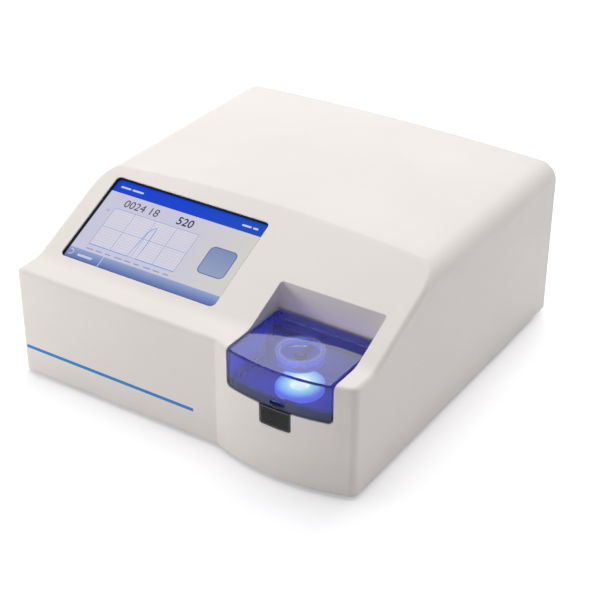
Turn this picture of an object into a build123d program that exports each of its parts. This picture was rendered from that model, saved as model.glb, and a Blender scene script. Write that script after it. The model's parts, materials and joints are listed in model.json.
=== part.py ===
"""Bench-top electroporator: a moulded case with a sloped touch screen and a lidded, lit tube chamber.

Every piece is drawn in the case frame: x from the middle of the case to the right, y from the straight
part of the front face towards the rear, z up from the lower edge of the case. It is moved to the part's
own frame, with its origin on the bench under the middle of the case, when it is written. Millimetres.
"""
from build123d import *
from math import cos, radians, sin, sqrt, tan
import os

# ---------------------------------------------------------------- case form
WIDTH = 320.0  # side to side
DEPTH = 325.0  # straight front face to rear edge
SHOULDER = 140.6  # height of the top at its rounded shoulders
CROWN = 3.3  # rise of the top from the shoulders to the middle
SHOULDER_R = 16.0  # rounding along the two upper side edges
NOSE_TOP = 95.0  # height of the flat front shelf
SHELF = 25.9  # front face to the foot of the slope
SLOPE = 25.5  # rise of the front panel, degrees
VALLEY_R = 25.0  # blend between shelf and slope
EDGE_R = 4.0  # rounding of the rim round shelf and slope
WALL = 3.0  # moulded wall
FOOT_STAND = 4.0  # bench to the lower edge of the case
FRONT_LEFT_R = 5.0  # upright front corner, screen side
FRONT_RIGHT_R = 7.0  # upright front corner, chamber side
CREASE_R = 4.0  # where the bulge leaves the straight front
BULGE_R = 178.0  # plan radius of the bulge
BULGE_REACH = 10.6  # bulge in front of the straight face

# ---------------------------------------------------------------- spacing across the front
LEFT_MARGIN = 12.85  # case side to the touch panel
SCREEN_GAP = 32.15  # touch panel to the lid recess
RECESS_W = 93.6
RIGHT_MARGIN = 16.4  # lid recess to the case side

# ---------------------------------------------------------------- screen, on the slope
SCREEN_BAND = 18.3  # slope left bare above and below the opening
SCREEN_DROP = 1.5  # opening below the middle of the slope
SCREEN_R = 4.5
GLASS_SIDE = 6.15  # touch panel beyond the opening, each side
GLASS_T = 1.8
GASKET_T = 0.5
GASKET_W = 4.5  # width of the gasket's band
GASKET_GAP = 0.1  # lip to the opening's edge
LIP_T = 0.6
LIP_DEPTH = 0.8  # slope's face to the lip's edge
MODULE_T = 5.7
TRAY_T = 1.0  # sheet of the mounting frame
TRAY_GAP = 0.3
BOSS_R = 3.5  # screw bosses moulded to the case
BOSS_SIDE = 6.3  # edge of the glass to a boss's middle
BOSS_INSET = 14.0  # upper edge of the glass to a boss's middle
DRIVER_W = 110.0
DRIVER_H = 70.0
BOARD_T = 1.6

# ---------------------------------------------------------------- lid recess
RECESS_BACK = 66.0  # front face to the back wall at lid level
RECESS_LEAN = 11.5  # back wall's lean, degrees
RECESS_R = 2.5
RECESS_WALL = 2.5
NOTCH_H = 33.0  # shelf to the lower edge of the opening in the front wall
DECK_DROP = 2.0  # that edge to the floor of the chamber

# ---------------------------------------------------------------- lid
LID_GAP = 0.5  # lid to recess, each side
LID_WALL = 3.0
LID_SKIRT = 2.5
LID_SILL_GAP = 0.4  # front wall over the notch
LID_REAR_GAP = 1.8  # lid to the recess's back wall
LID_REAR_R = 2.5
LID_CORNER_R = 3.2  # rear corners in plan
LID_LOW_R = 4.0  # lower corners of the front wall
LID_EDGE_R = 0.8
PIN_BACK = 7.0  # back wall to the pin's axis
PIN_DROP = 5.5  # shelf to the pin's axis
PIN_R = 1.5
PIN_FIT = 0.05  # lid ear on pin, radial
PIN_SEAT = 0.02  # recess wall on pin, radial
EAR_R = 4.3
EAR_W = 6.5
LID_WIRE = 0.6  # torsion spring's wire
SWING_R = 7.0  # clear cylinder round the pin
LID_BOSS_R = 18.0
LID_BOSS_WALL = 2.0
LID_BOSS_DROP = 8.0
KEEPER_W = 12.0  # slot in the front wall for the catch
KEEPER_H = 3.0
KEEPER_RISE = 5.0  # notch's lower edge to the middle of the slot
KEEPER_SHIFT = 2.0  # slot to the right of the button's middle
SKIRT_FRONT = 26.0  # lower edge of the skirts starts to rise
SKIRT_REAR = 50.0  # and is up at the ears
SKIRT_DROP = 9.0  # shelf to the skirts' edge at the ears
SKIRT_R = 8.0

# ---------------------------------------------------------------- chamber
WELL_Y = 24.5  # middle of the tube well
WELL_R = 6.6
HUB_R = 9.5
SOCKET_FLANGE_R = 18.5
SOCKET_RISE = 5.0  # deck to the top of the socket
SOCKET_L = 31.0
SOCKET_BASE = 2.0
SOCKET_FIT = 0.3
FLANGE_T = 2.5
FLANGE_RIM = 1.3
DECK_T = 3.0
SLEEVE_T = 2.5
SILL_H = 10.0
SILL_T = 3.0
SILL_GAP = 0.6
DECK_SIDE = 8.0  # deck beyond the recess, each side
ELECTRODE_T = 2.0
ELECTRODE_STEM_R = 2.4
ELECTRODE_STEM = 10.0
NUT_T = 3.2
LIGHT_T = 1.2
LIGHT_COUNT = 8

# ---------------------------------------------------------------- contact in the lid
CARRIER_T = 3.0
CARRIER_HUB_R = 5.0
CARRIER_DROP = 11.0  # shelf to the carrier's underside
CARRIER_FIT = 0.2
PLUNGER_R = 2.0
PLUNGER_FIT = 0.05
PLUNGER_HEAD_R = 4.0
PLUNGER_HEAD_T = 2.5
PLUNGER_DROP = 19.0  # shelf to the plunger's lower end
PLUNGER_TRAVEL = 2.5
ARM_W = 5.0
ARM_T = 1.2
ARM_END = 9.5  # back wall to the end of the arm
HINGE_DEPTH = 18.5  # hinge block, back wall to its front rib
HINGE_RIB = 4.0
HINGE_DROP = 8.5  # shelf to the top of the rib
HINGE_BACK_GAP = 0.3
TERMINAL_L = 2.6
TERMINAL_H = 8.0

# ---------------------------------------------------------------- latch
BUTTON_W = 27.2
BUTTON_H = 16.6
BUTTON_UNDER = 0.4  # notch's lower edge to the top of the button
BUTTON_T = 3.5  # face plate
BUTTON_GAP = 0.3
BUTTON_R = 2.5
BUTTON_TRAVEL = 3.0
BLOCK_W = 24.6  # guided block behind the face
BLOCK_H = 10.5
BLOCK_RISE = 0.5  # button's lower edge to the block
BLOCK_END = 4.0
GUIDE_FRONT = -2.2
GUIDE_END = 11.9
GUIDE_WALL = 2.0
GUIDE_FIT = 0.2
HOOK_W = 9.6
HOOK_T = 2.0
HOOK_NOSE = 2.2

# ---------------------------------------------------------------- base, rear panel, feet
SHEET = 2.0  # base plate and rear panel
BASE_Z = 3.0  # case edge to the base plate's underside
BASE_GAP = 0.3  # plate to the case wall
REAR_RECESS = 8.0  # rear edge to the rear panel
FLANGE_H = 15.0
FOOT_R = 9.0
FOOT_IN = 25.0  # case side to a foot's middle
FOOT_FRONT = 30.0
FOOT_REAR = 33.0
LUG_FRONT = 60.0
LUG_REAR = 63.0
LUG_W = 16.0
LUG_T = 12.0
LUG_H = 14.0
M4_R = 2.0
M3_R = 1.5
HEAD_T = 2.2

# ---------------------------------------------------------------- rear fittings
FAN_IN = 65.0  # case side to the fan's axis
FAN_Z = 78.0
FAN_SIZE = 60.0
FAN_DEPTH = 20.0
FAN_HOLES = 50.0
FAN_BORE_R = 28.5
BLADES = 7
INLET_IN = 45.0  # case side to the inlet's middle
INLET_Z = 42.0
INLET_W = 27.0
INLET_H = 32.0
INLET_FLANGE = 3.0
INLET_DEPTH = 24.0
SOCKET_W = 24.4  # mouth of the mains inlet
SOCKET_H = 16.6
SOCKET_DEPTH = 16.5
DRAWER_W = 21.6
DRAWER_H = 7.6
DRAWER_L = 20.0
DRAWER_FIT = 0.2
FUSE_R = 2.6
SWITCH_Z = 84.0
ROCKER_W = 10.4
ROCKER_HALF = 8.0
ROCKER_TILT = 10.0
PORT_IN = 98.0  # case side to the middle of the ports
PORT_HALF = 11.0  # that middle to each port
PORT_Z = 34.0
POST_Z = 70.0

# ---------------------------------------------------------------- worked out
BULGE_X = WIDTH / 2 - RIGHT_MARGIN - RECESS_W / 2  # middle of the bulge, lid and chamber
GLASS_W = WIDTH - LEFT_MARGIN - SCREEN_GAP - RECESS_W - RIGHT_MARGIN
SCREEN_X = LEFT_MARGIN + GLASS_W / 2 - WIDTH / 2
SCREEN_W = GLASS_W - 2 * GLASS_SIDE
SLOPE_L = (SHOULDER - NOSE_TOP) / sin(radians(SLOPE))
SCREEN_UP = SLOPE_L / 2 - SCREEN_DROP  # foot of the slope to the middle of the opening
SCREEN_H = SLOPE_L - SCREEN_BAND
GLASS_H = SCREEN_H + 2 * GLASS_SIDE
NOTCH_SILL = NOSE_TOP - NOTCH_H
DECK_TOP = NOTCH_SILL - DECK_DROP
KEEPER_Z = NOTCH_SILL + KEEPER_RISE
LID_REAR = RECESS_BACK - LID_REAR_GAP
PIN_Y = RECESS_BACK - PIN_BACK
PIN_Z = NOSE_TOP - PIN_DROP
SKIRT_HIGH = NOSE_TOP - SKIRT_DROP
SOCKET_TOP = DECK_TOP + SOCKET_RISE
SOCKET_FOOT = SOCKET_TOP - SOCKET_L
SILL_TOP = DECK_TOP + SILL_H
CARRIER_Z = NOSE_TOP - CARRIER_DROP
PLUNGER_LOW = NOSE_TOP - PLUNGER_DROP
HINGE_FRONT = RECESS_BACK - HINGE_DEPTH
HINGE_TOP = NOSE_TOP - HINGE_DROP
BUTTON_TOP = NOTCH_SILL - BUTTON_UNDER
BUTTON_LOW = BUTTON_TOP - BUTTON_H
BLOCK_LOW = BUTTON_LOW + BLOCK_RISE
BLOCK_TOP = BLOCK_LOW + BLOCK_H
FOOT_X = WIDTH / 2 - FOOT_IN
FOOT_YS = (FOOT_FRONT, DEPTH - FOOT_REAR)
LUG_YS = (LUG_FRONT, DEPTH - LUG_REAR)
FAN_X = WIDTH / 2 - FAN_IN
INLET_X = INLET_IN - WIDTH / 2
PORT_X = PORT_IN - WIDTH / 2
REAR_FACE = DEPTH - REAR_RECESS  # outer face of the rear panel
PANEL_IN = REAR_FACE - SHEET
BASE_TOP = BASE_Z + SHEET
CROWN_R = ((WIDTH / 2 - SHOULDER_R) ** 2 + CROWN**2) / (2 * CROWN)
BULGE_Y = BULGE_R - BULGE_REACH  # plan centre of the bulge
RECESS_LEFT = BULGE_X - RECESS_W / 2
RECESS_RIGHT = BULGE_X + RECESS_W / 2
LID_W = RECESS_W - 2 * LID_GAP
LID_LOW = NOTCH_SILL + LID_SILL_GAP
LID_UNDER = NOSE_TOP - LID_WALL
OVERALL_DEPTH = DEPTH + BULGE_REACH
TO_PART = Pos(0, BULGE_REACH - OVERALL_DEPTH / 2, FOOT_STAND)
SLOPE_PLANE = Plane(
    origin=(0, SHELF, NOSE_TOP),
    x_dir=(1, 0, 0),
    z_dir=(0, -sin(radians(SLOPE)), cos(radians(SLOPE))),
)


# ---------------------------------------------------------------- shared shapes
def block(xs, ys, zs):
    """Box between two limits along each axis."""
    size = [high - low for low, high in (xs, ys, zs)]
    middle = [(high + low) / 2 for low, high in (xs, ys, zs)]
    return Pos(*middle) * Box(*size)


def around(middle, width):
    """Limits of a span about its middle."""
    return (middle - width / 2, middle + width / 2)


def rod(radius, start, end):
    """Round bar from one point to another."""
    axis = Vector(*end) - Vector(*start)
    plane = Plane(origin=start, z_dir=axis)
    return plane * Cylinder(radius, axis.length, align=(Align.CENTER, Align.CENTER, Align.MIN))


def pipe(outer, inner, start, end):
    """Round tube from one point to another."""
    return rod(outer, start, end) - rod(inner, start, end)


def across(points, xs):
    """Prism along x from an outline of (y, z) points."""
    face = Plane((xs[0], 0, 0), x_dir=(0, 1, 0), z_dir=(1, 0, 0)) * make_face(Polyline(*points, close=True))
    return extrude(face, amount=xs[1] - xs[0])


def turned(points, centre):
    """Solid of revolution about a vertical axis, from (radius, z) points."""
    face = Plane.XZ * make_face(Polyline(*points, close=True))
    return Pos(centre[0], centre[1], 0) * revolve(face, Axis.Z)


def corner(sketch, x, y):
    """Vertex of a sketch nearest to a point."""
    return sketch.vertices().sort_by_distance((x, y, 0))[0]


def spring(radius, wire, length, turns, location):
    """Coil with its axis along the location's z, its ends a wire's half inside the length."""
    rise = length - 2 * wire
    path = Helix(rise / turns, rise, radius - wire / 2)
    start = Plane(origin=path @ 0, z_dir=path % 0)
    coil = sweep(start * Rectangle(wire, wire), path=path, is_frenet=True)
    return location * (Pos(0, 0, wire) * coil)


def screws(points, direction, shank_r, shank, head_r=None, head_t=HEAD_T):
    """Pan-head screws: each head's underside at its point, the shank along the direction."""
    head_r = head_r or shank_r * 1.9
    way = Vector(*direction)
    out = []
    for point in points:
        seat = Vector(*point)
        out.append(rod(head_r, seat - way * head_t, seat) + rod(shank_r, seat, seat + way * shank))
    return out


def write(name, *solids):
    """Write one node: its separate solids in the part's frame."""
    pieces = []
    for shape in solids:
        pieces.extend((TO_PART * shape).solids())
    body = pieces[0] if len(pieces) == 1 else Compound(children=pieces)
    body.label = name
    export_step(body, f"parts/{name}.step")


# ---------------------------------------------------------------- case form
def bulge_y(x, inset=0.0):
    """Plan position of the bulged front, set in from the outer face."""
    return BULGE_Y - sqrt((BULGE_R - inset) ** 2 - (x - BULGE_X) ** 2)


def front_section(inset, foot):
    """Upright section across the case: straight sides, rounded shoulders, crowned top."""
    half = WIDTH / 2 - inset
    top = SHOULDER + CROWN
    disc = Pos(0, top - CROWN_R) * Circle(CROWN_R - inset)
    sides = Pos(0, (foot + top + WALL) / 2) * Rectangle(2 * half, top + WALL - foot)
    sketch = disc & sides
    return fillet(sketch.vertices().group_by(Axis.Y)[-1], SHOULDER_R - inset)


def under_slope(inset, blend):
    """Everything below the shelf and the slope, set in from the outer face."""
    foot_y = SHELF + inset * tan(radians(SLOPE) / 2)
    foot_z = NOSE_TOP - inset
    run = DEPTH
    top = (foot_y + run * cos(radians(SLOPE)), foot_z + run * sin(radians(SLOPE)))
    low = -FOOT_STAND * 3
    skin = ((-BULGE_R, low), (-BULGE_R, foot_z), (foot_y, foot_z), top, (2 * DEPTH, top[1]))
    outline = Polyline(*skin, (2 * DEPTH, low), close=True)
    face = make_face(outline)
    if blend:
        face = fillet(corner(face, foot_y, foot_z), blend)
    return extrude(Plane.YZ * face, amount=WIDTH, both=True)


def plan_section(inset, rear):
    """Plan of the case: straight front at the left, bulge at the right."""
    half = WIDTH / 2 - inset
    crease = BULGE_X - sqrt((BULGE_R - inset) ** 2 - (BULGE_Y - inset) ** 2)
    side_y = bulge_y(half, inset)
    left = Polyline((-half, rear), (-half, inset), (crease, inset))
    arc = ThreePointArc((crease, inset), (BULGE_X, bulge_y(BULGE_X, inset)), (half, side_y))
    right = Polyline((half, side_y), (half, rear), (-half, rear))
    sketch = make_face(left + arc + right)
    sketch = fillet(corner(sketch, -half, inset), max(FRONT_LEFT_R - inset, 0.5))
    sketch = fillet(corner(sketch, crease, inset), CREASE_R + inset)
    return fillet(corner(sketch, half, side_y), max(FRONT_RIGHT_R - inset, 0.5))


def case_form(inset, foot, rear, blend):
    """Solid inside the case's skin, set in by a distance, from a foot level to a rear plane."""
    plan = extrude(Plane.XY.offset(foot) * plan_section(inset, rear), amount=2 * SHOULDER)
    section = Plane((0, rear, 0), x_dir=(1, 0, 0), z_dir=(0, -1, 0)) * front_section(inset, foot)
    return extrude(section, amount=rear + 2 * BULGE_REACH) & plan & under_slope(inset, blend)


def rim_edges(form):
    """Edge loop round the shelf, the slope and the front of the top."""

    def on_rim(edge):
        middle = edge @ 0.5
        skin = NOSE_TOP + max(0.0, (middle.Y - SHELF) * tan(radians(SLOPE)))
        inside = abs(middle.X) < 1 and middle.Z < SHOULDER and middle.Y > 1
        return skin - 0.5 < middle.Z < skin + 3.5 and middle.Y < DEPTH / 2 and not inside

    return form.edges().filter_by(on_rim)


def outer_form():
    """Outer skin of the case with its rim and lower edge rounded."""
    form = case_form(0.0, 0.0, DEPTH, VALLEY_R)
    return fillet(rim_edges(form), EDGE_R)


def recess_y(z):
    """Position of the recess's leaning back wall."""
    return RECESS_BACK + max(0.0, z - NOSE_TOP) * tan(radians(RECESS_LEAN))


def recess_space(grow, low, low_r=0.0):
    """Space of the lid recess, grown sideways and rearwards, down to a level, its lower sides rounded."""
    high = NOSE_TOP + SHELF * 2
    xs = (RECESS_LEFT - grow, RECESS_RIGHT + grow)
    back = RECESS_BACK + grow
    upper = across([(-SHELF, NOSE_TOP), (-SHELF, high), (recess_y(high) + grow, high), (back, NOSE_TOP)], xs)
    rear = upper.edges().filter_by(lambda e: abs((e @ 0.5).Y - recess_y((e @ 0.5).Z) - grow) < 0.1)
    upper = fillet(rear.filter_by(lambda e: abs((e % 0.5).Z) > 0.9), RECESS_R + grow)
    lower = block(xs, (-SHELF, back), (low, NOSE_TOP))
    if low_r:
        lower = fillet(lower.edges().filter_by(Axis.Y).group_by(Axis.Z)[0], low_r)
    return upper + lower


def glass_point(across_x, up, depth=0.0):
    """Point on or under the slope, from the middle of the screen."""
    point = SLOPE_PLANE.from_local_coords(Vector(SCREEN_X + across_x, SCREEN_UP + up, -depth))
    return (point.X, point.Y, point.Z)


def slope_slab(width, height, depths, radius=0.0):
    """Slab under the screen, parallel to the slope, between two depths."""
    face = Rectangle(width, height) if not radius else RectangleRounded(width, height, radius)
    plane = SLOPE_PLANE.offset(-depths[1])
    return extrude(plane * (Pos(SCREEN_X, SCREEN_UP) * face), amount=depths[1] - depths[0])


BOSS_SPOTS = [
    (side * (GLASS_W / 2 + BOSS_SIDE), up * (GLASS_H / 2 - BOSS_INSET)) for side in (-1, 1) for up in (-1, 1)
]
TRAY_DEPTH = WALL + GASKET_T + GLASS_T + MODULE_T  # slope's face to the tray
CHAMBER_YS = (RECESS_BACK / 3, RECESS_BACK - 8.0)
CHAMBER_SPOTS = [
    (BULGE_X + side * (RECESS_W / 2 + RECESS_WALL + BOSS_R), y) for side in (-1, 1) for y in CHAMBER_YS
]
CHAMBER_BOSS_H = 20.0
CHAMBER_SCREW = 11.0
LUG_SPOTS = [(side * (WIDTH / 2 - WALL - LUG_T / 2), y) for side in (-1, 1) for y in LUG_YS]
TAB_IN = 55.0  # case side to the outer tabs
PANEL_TABS = (TAB_IN - WIDTH / 2, 0.0, WIDTH / 2 - TAB_IN)
TAB_H = 14.0
TAB_L = 10.0
PANEL_SCREW_DROP = 11.0


def panel_top(x):
    """Height of the case's inner skin at a place across the width."""
    return SHOULDER + CROWN - CROWN_R + sqrt((CROWN_R - WALL) ** 2 - x**2)


def top_housing():
    """Moulded case, open below and behind, with its screen opening, lid recess, bosses and lugs."""
    outer = outer_form()
    inner = case_form(WALL, -FOOT_STAND, DEPTH + WALL, 0.0)
    wall_y = bulge_y(RECESS_LEFT, WALL)  # inner face of the front wall beside the recess
    shell = outer - inner
    ahead = block((RECESS_LEFT - WALL, RECESS_RIGHT + WALL), (-BULGE_R, wall_y), (0, NOSE_TOP * 2))
    shell += (recess_space(RECESS_WALL, DECK_TOP) - ahead) & outer
    for x, y in BOSS_SPOTS:
        shell += rod(BOSS_R, glass_point(x, y, WALL - 0.5), glass_point(x, y, TRAY_DEPTH))
        shell -= rod(M3_R, glass_point(x, y, WALL), glass_point(x, y, TRAY_DEPTH))
    for x, y in CHAMBER_SPOTS:
        zs = (DECK_TOP, DECK_TOP + CHAMBER_BOSS_H)
        inward = RECESS_WALL / 2 if x < BULGE_X else -RECESS_WALL / 2
        shell += rod(BOSS_R, (x, y, zs[0]), (x, y, zs[1]))
        shell += block(around(x + inward, RECESS_WALL + BOSS_R), around(y, BOSS_R), zs)
        shell -= rod(M3_R, (x, y, DECK_TOP), (x, y, DECK_TOP + CHAMBER_SCREW))
    for x, y in LUG_SPOTS:
        shell += block(around(x, LUG_T + 1), around(y, LUG_W), (BASE_TOP, BASE_TOP + LUG_H)) & outer
        shell -= rod(M4_R, (x, y, BASE_TOP), (x, y, BASE_TOP + LUG_H - 2))
    for x in PANEL_TABS:
        skin = panel_top(x)
        z = skin - PANEL_SCREW_DROP
        shell += block(around(x, LUG_W), (PANEL_IN - TAB_L, PANEL_IN), (skin - TAB_H, skin + WALL / 2))
        shell -= rod(M3_R, (x, PANEL_IN, z), (x, PANEL_IN - TAB_L + 1, z))
    shell -= recess_space(0.0, NOTCH_SILL, LID_LOW_R + LID_GAP)
    shell -= block((RECESS_LEFT, RECESS_RIGHT), (wall_y, RECESS_BACK), (DECK_TOP, NOTCH_SILL + 2 * LID_LOW_R))
    shell -= slope_slab(SCREEN_W, SCREEN_H, (-WALL, WALL * 1.5), SCREEN_R)
    shell -= button_notch()
    shell -= rod(PIN_R + PIN_SEAT, (RECESS_LEFT - WALL, PIN_Y, PIN_Z), (RECESS_RIGHT + WALL, PIN_Y, PIN_Z))
    return shell


def button_notch():
    """Cut through the front wall for the button's face, with rounded lower corners."""
    half = BUTTON_W / 2 + BUTTON_GAP
    low = BUTTON_LOW - BUTTON_GAP
    cut = block((BULGE_X - half, BULGE_X + half), (-SHELF, 0), (low, NOTCH_SILL + 1))
    edges = cut.edges().filter_by(Axis.Y).group_by(Axis.Z)[0]
    return fillet(edges, BUTTON_R)


# ---------------------------------------------------------------- display
def display_gasket():
    """Black gasket: a band between the case and the touch panel, and a lip that lines the opening."""
    lip_r = SCREEN_R - GASKET_GAP
    band = slope_slab(SCREEN_W + 2 * GASKET_W, SCREEN_H + 2 * GASKET_W, (WALL, WALL + GASKET_T))
    lip = slope_slab(SCREEN_W - 2 * GASKET_GAP, SCREEN_H - 2 * GASKET_GAP, (LIP_DEPTH, WALL), lip_r)
    inside = (SCREEN_W - 2 * (GASKET_GAP + LIP_T), SCREEN_H - 2 * (GASKET_GAP + LIP_T))
    return band + lip - slope_slab(*inside, (0, WALL + GASKET_T), lip_r - LIP_T)


def touch_panel():
    """Glass touch panel behind the opening."""
    return slope_slab(GLASS_W, GLASS_H, (WALL + GASKET_T, WALL + GASKET_T + GLASS_T), 2.0)


def display_module():
    """Liquid-crystal module with its folded metal back and connector hump."""
    front = WALL + GASKET_T + GLASS_T
    return slope_slab(GLASS_W, GLASS_H, (front, front + MODULE_T))


def display_frame():
    """Sheet tray behind the module: side walls up to the bosses, four ears, windowed back."""
    inner_w = GLASS_W + 2 * TRAY_GAP
    inner_h = GLASS_H + 2 * TRAY_GAP
    rim = TRAY_DEPTH - MODULE_T
    tray = slope_slab(inner_w + 2 * TRAY_T, inner_h + 2 * TRAY_T, (rim, TRAY_DEPTH + TRAY_T))
    tray -= slope_slab(inner_w, inner_h, (rim, TRAY_DEPTH))
    for x in (-1, 1):
        window = slope_slab(DRIVER_W / 2 - 14, GLASS_H - 30, (TRAY_DEPTH - 1, TRAY_DEPTH + 2 * TRAY_T), 3.0)
        tray -= Pos(x * DRIVER_W / 4, 0, 0) * window
    for x, y in BOSS_SPOTS:
        inward = (BOSS_SIDE - BOSS_R) / 2 if x < 0 else (BOSS_R - BOSS_SIDE) / 2
        ear = slope_slab(BOSS_SIDE + BOSS_R, 2 * BOSS_R, (TRAY_DEPTH, TRAY_DEPTH + TRAY_T))
        shift = SLOPE_PLANE.from_local_coords(Vector(x + inward, y, 0))
        tray += Pos(*(shift - SLOPE_PLANE.origin)) * ear
        tray -= rod(M3_R + 0.1, glass_point(x, y, TRAY_DEPTH - 1), glass_point(x, y, TRAY_DEPTH + 2 * TRAY_T))
    return tray


STANDOFF_SPOTS = [(x * (DRIVER_W / 2 - 4), y * (DRIVER_H / 2 - 4)) for x in (-1, 1) for y in (-1, 1)]
DRIVER_STAND = 6.0


def display_standoffs():
    """Hexagonal spacers between the tray and the driver board."""
    out = []
    for x, y in STANDOFF_SPOTS:
        plane = SLOPE_PLANE.offset(-(TRAY_DEPTH + TRAY_T + DRIVER_STAND))
        spacer = plane * (Pos(SCREEN_X + x, SCREEN_UP + y) * RegularPolygon(3.0, 6))
        out.append(extrude(spacer, amount=DRIVER_STAND))
    return out


DRIVER_CHIPS = (  # place on the board, width, height, thickness
    (-18, 5, 24, 24, 1.8),  # processor
    (16, 12, 14, 20, 1.2),  # memory
    (16, -14, 14, 10, 1.4),  # flash
    (-42, -8, 8, 30, 5.0),  # cable socket
    (42, 0, 7, 24, 6.0),  # module socket
)


def display_board():
    """Driver board with its processor, connectors and a coin cell."""
    face = TRAY_DEPTH + TRAY_T + DRIVER_STAND
    board = slope_slab(DRIVER_W, DRIVER_H, (face, face + BOARD_T))
    back = face + BOARD_T
    for x, y, w, h, t in DRIVER_CHIPS:
        chip = slope_slab(w, h, (back, back + t))
        board += Pos(*(SLOPE_PLANE.from_local_coords(Vector(x, y, 0)) - SLOPE_PLANE.origin)) * chip
    return board


# ---------------------------------------------------------------- chamber
def deck_outline(low, high, side, gap):
    """Slab whose front follows the inner face of the bulged wall."""
    xs = (RECESS_LEFT - side, RECESS_RIGHT + side)
    slab = block(xs, (-SHELF, RECESS_BACK + DECK_SIDE), (low, high))
    return slab & rod(BULGE_R - gap, (BULGE_X, BULGE_Y, low), (BULGE_X, BULGE_Y, high))


def chamber_tub():
    """Dark insert: deck, front sill behind the lid's wall, and the sleeve of the tube socket."""
    low = DECK_TOP - DECK_T
    tub = deck_outline(low, DECK_TOP, DECK_SIDE, WALL + SOCKET_FIT)
    sill = deck_outline(DECK_TOP, SILL_TOP, -(LID_GAP + LID_SKIRT + SILL_GAP), LID_WALL + SILL_GAP)
    sill_r = BULGE_R - LID_WALL - SILL_GAP - SILL_T
    sill -= rod(sill_r, (BULGE_X, BULGE_Y, low), (BULGE_X, BULGE_Y, SILL_TOP + 1))
    tub += sill
    tub += rod(HUB_R + SOCKET_FIT + SLEEVE_T, (BULGE_X, WELL_Y, SOCKET_FOOT), (BULGE_X, WELL_Y, DECK_TOP))
    tub -= rod(HUB_R + SOCKET_FIT, (BULGE_X, WELL_Y, SOCKET_FOOT - 1), (BULGE_X, WELL_Y, DECK_TOP + 1))
    half = BUTTON_W / 2 + BUTTON_GAP
    face_reach = bulge_y(BULGE_X + BUTTON_W / 2, BUTTON_T) + BUTTON_TRAVEL + BUTTON_GAP
    tub -= block((BULGE_X - half, BULGE_X + half), (-SHELF, face_reach), (low - 1, BUTTON_TOP + BUTTON_GAP))
    hook_reach = HOOK_FRONT + HOOK_NOSE + HOOK_T + BUTTON_TRAVEL + BUTTON_GAP
    tub -= block(around(BULGE_X, HOOK_W + 2 * BUTTON_GAP), (-SHELF, hook_reach), (low - 1, SILL_TOP + 1))
    for x, y in CHAMBER_SPOTS:
        tub -= rod(M3_R + 0.2, (x, y, low - 1), (x, y, DECK_TOP + 1))
    return tub


def tube_socket():
    """Translucent socket: flange and rim over the lights, hub with the tube's bore."""
    top = SOCKET_TOP
    under = SOCKET_TOP - FLANGE_T
    rim = SOCKET_FLANGE_R - FLANGE_RIM
    floor = SOCKET_FOOT + SOCKET_BASE
    hole = ELECTRODE_STEM_R + 0.1
    hub = [(hole, SOCKET_FOOT), (HUB_R, SOCKET_FOOT), (HUB_R, under), (rim, under)]
    flange = SOCKET_FLANGE_R
    edge = [(rim, DECK_TOP), (flange, DECK_TOP), (flange, top - 1), (flange - 1, top)]
    well = [(WELL_R + 1, top), (WELL_R, top - 1), (WELL_R, floor), (hole, floor)]
    return turned(hub + edge + well, (BULGE_X, WELL_Y))


def lower_electrode():
    """Gilt contact at the bottom of the tube well, with its threaded stem."""
    seat = SOCKET_FOOT + SOCKET_BASE
    top = seat + ELECTRODE_T
    rim = WELL_R - 0.3
    stem = [(0, seat - ELECTRODE_STEM), (ELECTRODE_STEM_R, seat - ELECTRODE_STEM), (ELECTRODE_STEM_R, seat)]
    head = [(rim, seat), (rim, top - 0.6), (rim - 0.6, top), (0, top)]
    return turned(stem + head, (BULGE_X, WELL_Y))


def electrode_nut():
    """Hexagonal nut that clamps the electrode under the socket."""
    low = SOCKET_FOOT - NUT_T
    nut = extrude(Plane.XY.offset(low) * (Pos(BULGE_X, WELL_Y) * RegularPolygon(4.6, 6)), amount=NUT_T)
    return nut - rod(ELECTRODE_STEM_R, (BULGE_X, WELL_Y, low - 1), (BULGE_X, WELL_Y, SOCKET_FOOT))


def light_board():
    """Ring board with light-emitting diodes under the socket's flange."""
    outer = SOCKET_FLANGE_R - FLANGE_RIM - SOCKET_FIT
    inner = HUB_R + 0.2
    ring = pipe(outer, inner, (BULGE_X, WELL_Y, DECK_TOP), (BULGE_X, WELL_Y, DECK_TOP + LIGHT_T))
    middle = (outer + inner) / 2
    for i in range(LIGHT_COUNT):
        lamp = Pos(middle, 0, DECK_TOP + LIGHT_T + 0.4) * Box(2.6, 2.6, 0.8)
        ring += Pos(BULGE_X, WELL_Y, 0) * (Rot(0, 0, i * 360 / LIGHT_COUNT) * lamp)
    return ring


# ---------------------------------------------------------------- lid
def lid_plan(inset, side):
    """Plan of the lid: bulged front, straight sides."""
    xs = around(BULGE_X, LID_W - 2 * side)
    rear = LID_REAR if inset == 0 else LID_REAR + SHELF
    left = Line((xs[0], rear), (xs[0], bulge_y(xs[0], inset)))
    arc = ThreePointArc(left @ 1, (BULGE_X, bulge_y(BULGE_X, inset)), (xs[1], bulge_y(xs[1], inset)))
    right = Polyline(arc @ 1, (xs[1], rear), left @ 0)
    return make_face(left + arc + right)


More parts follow.
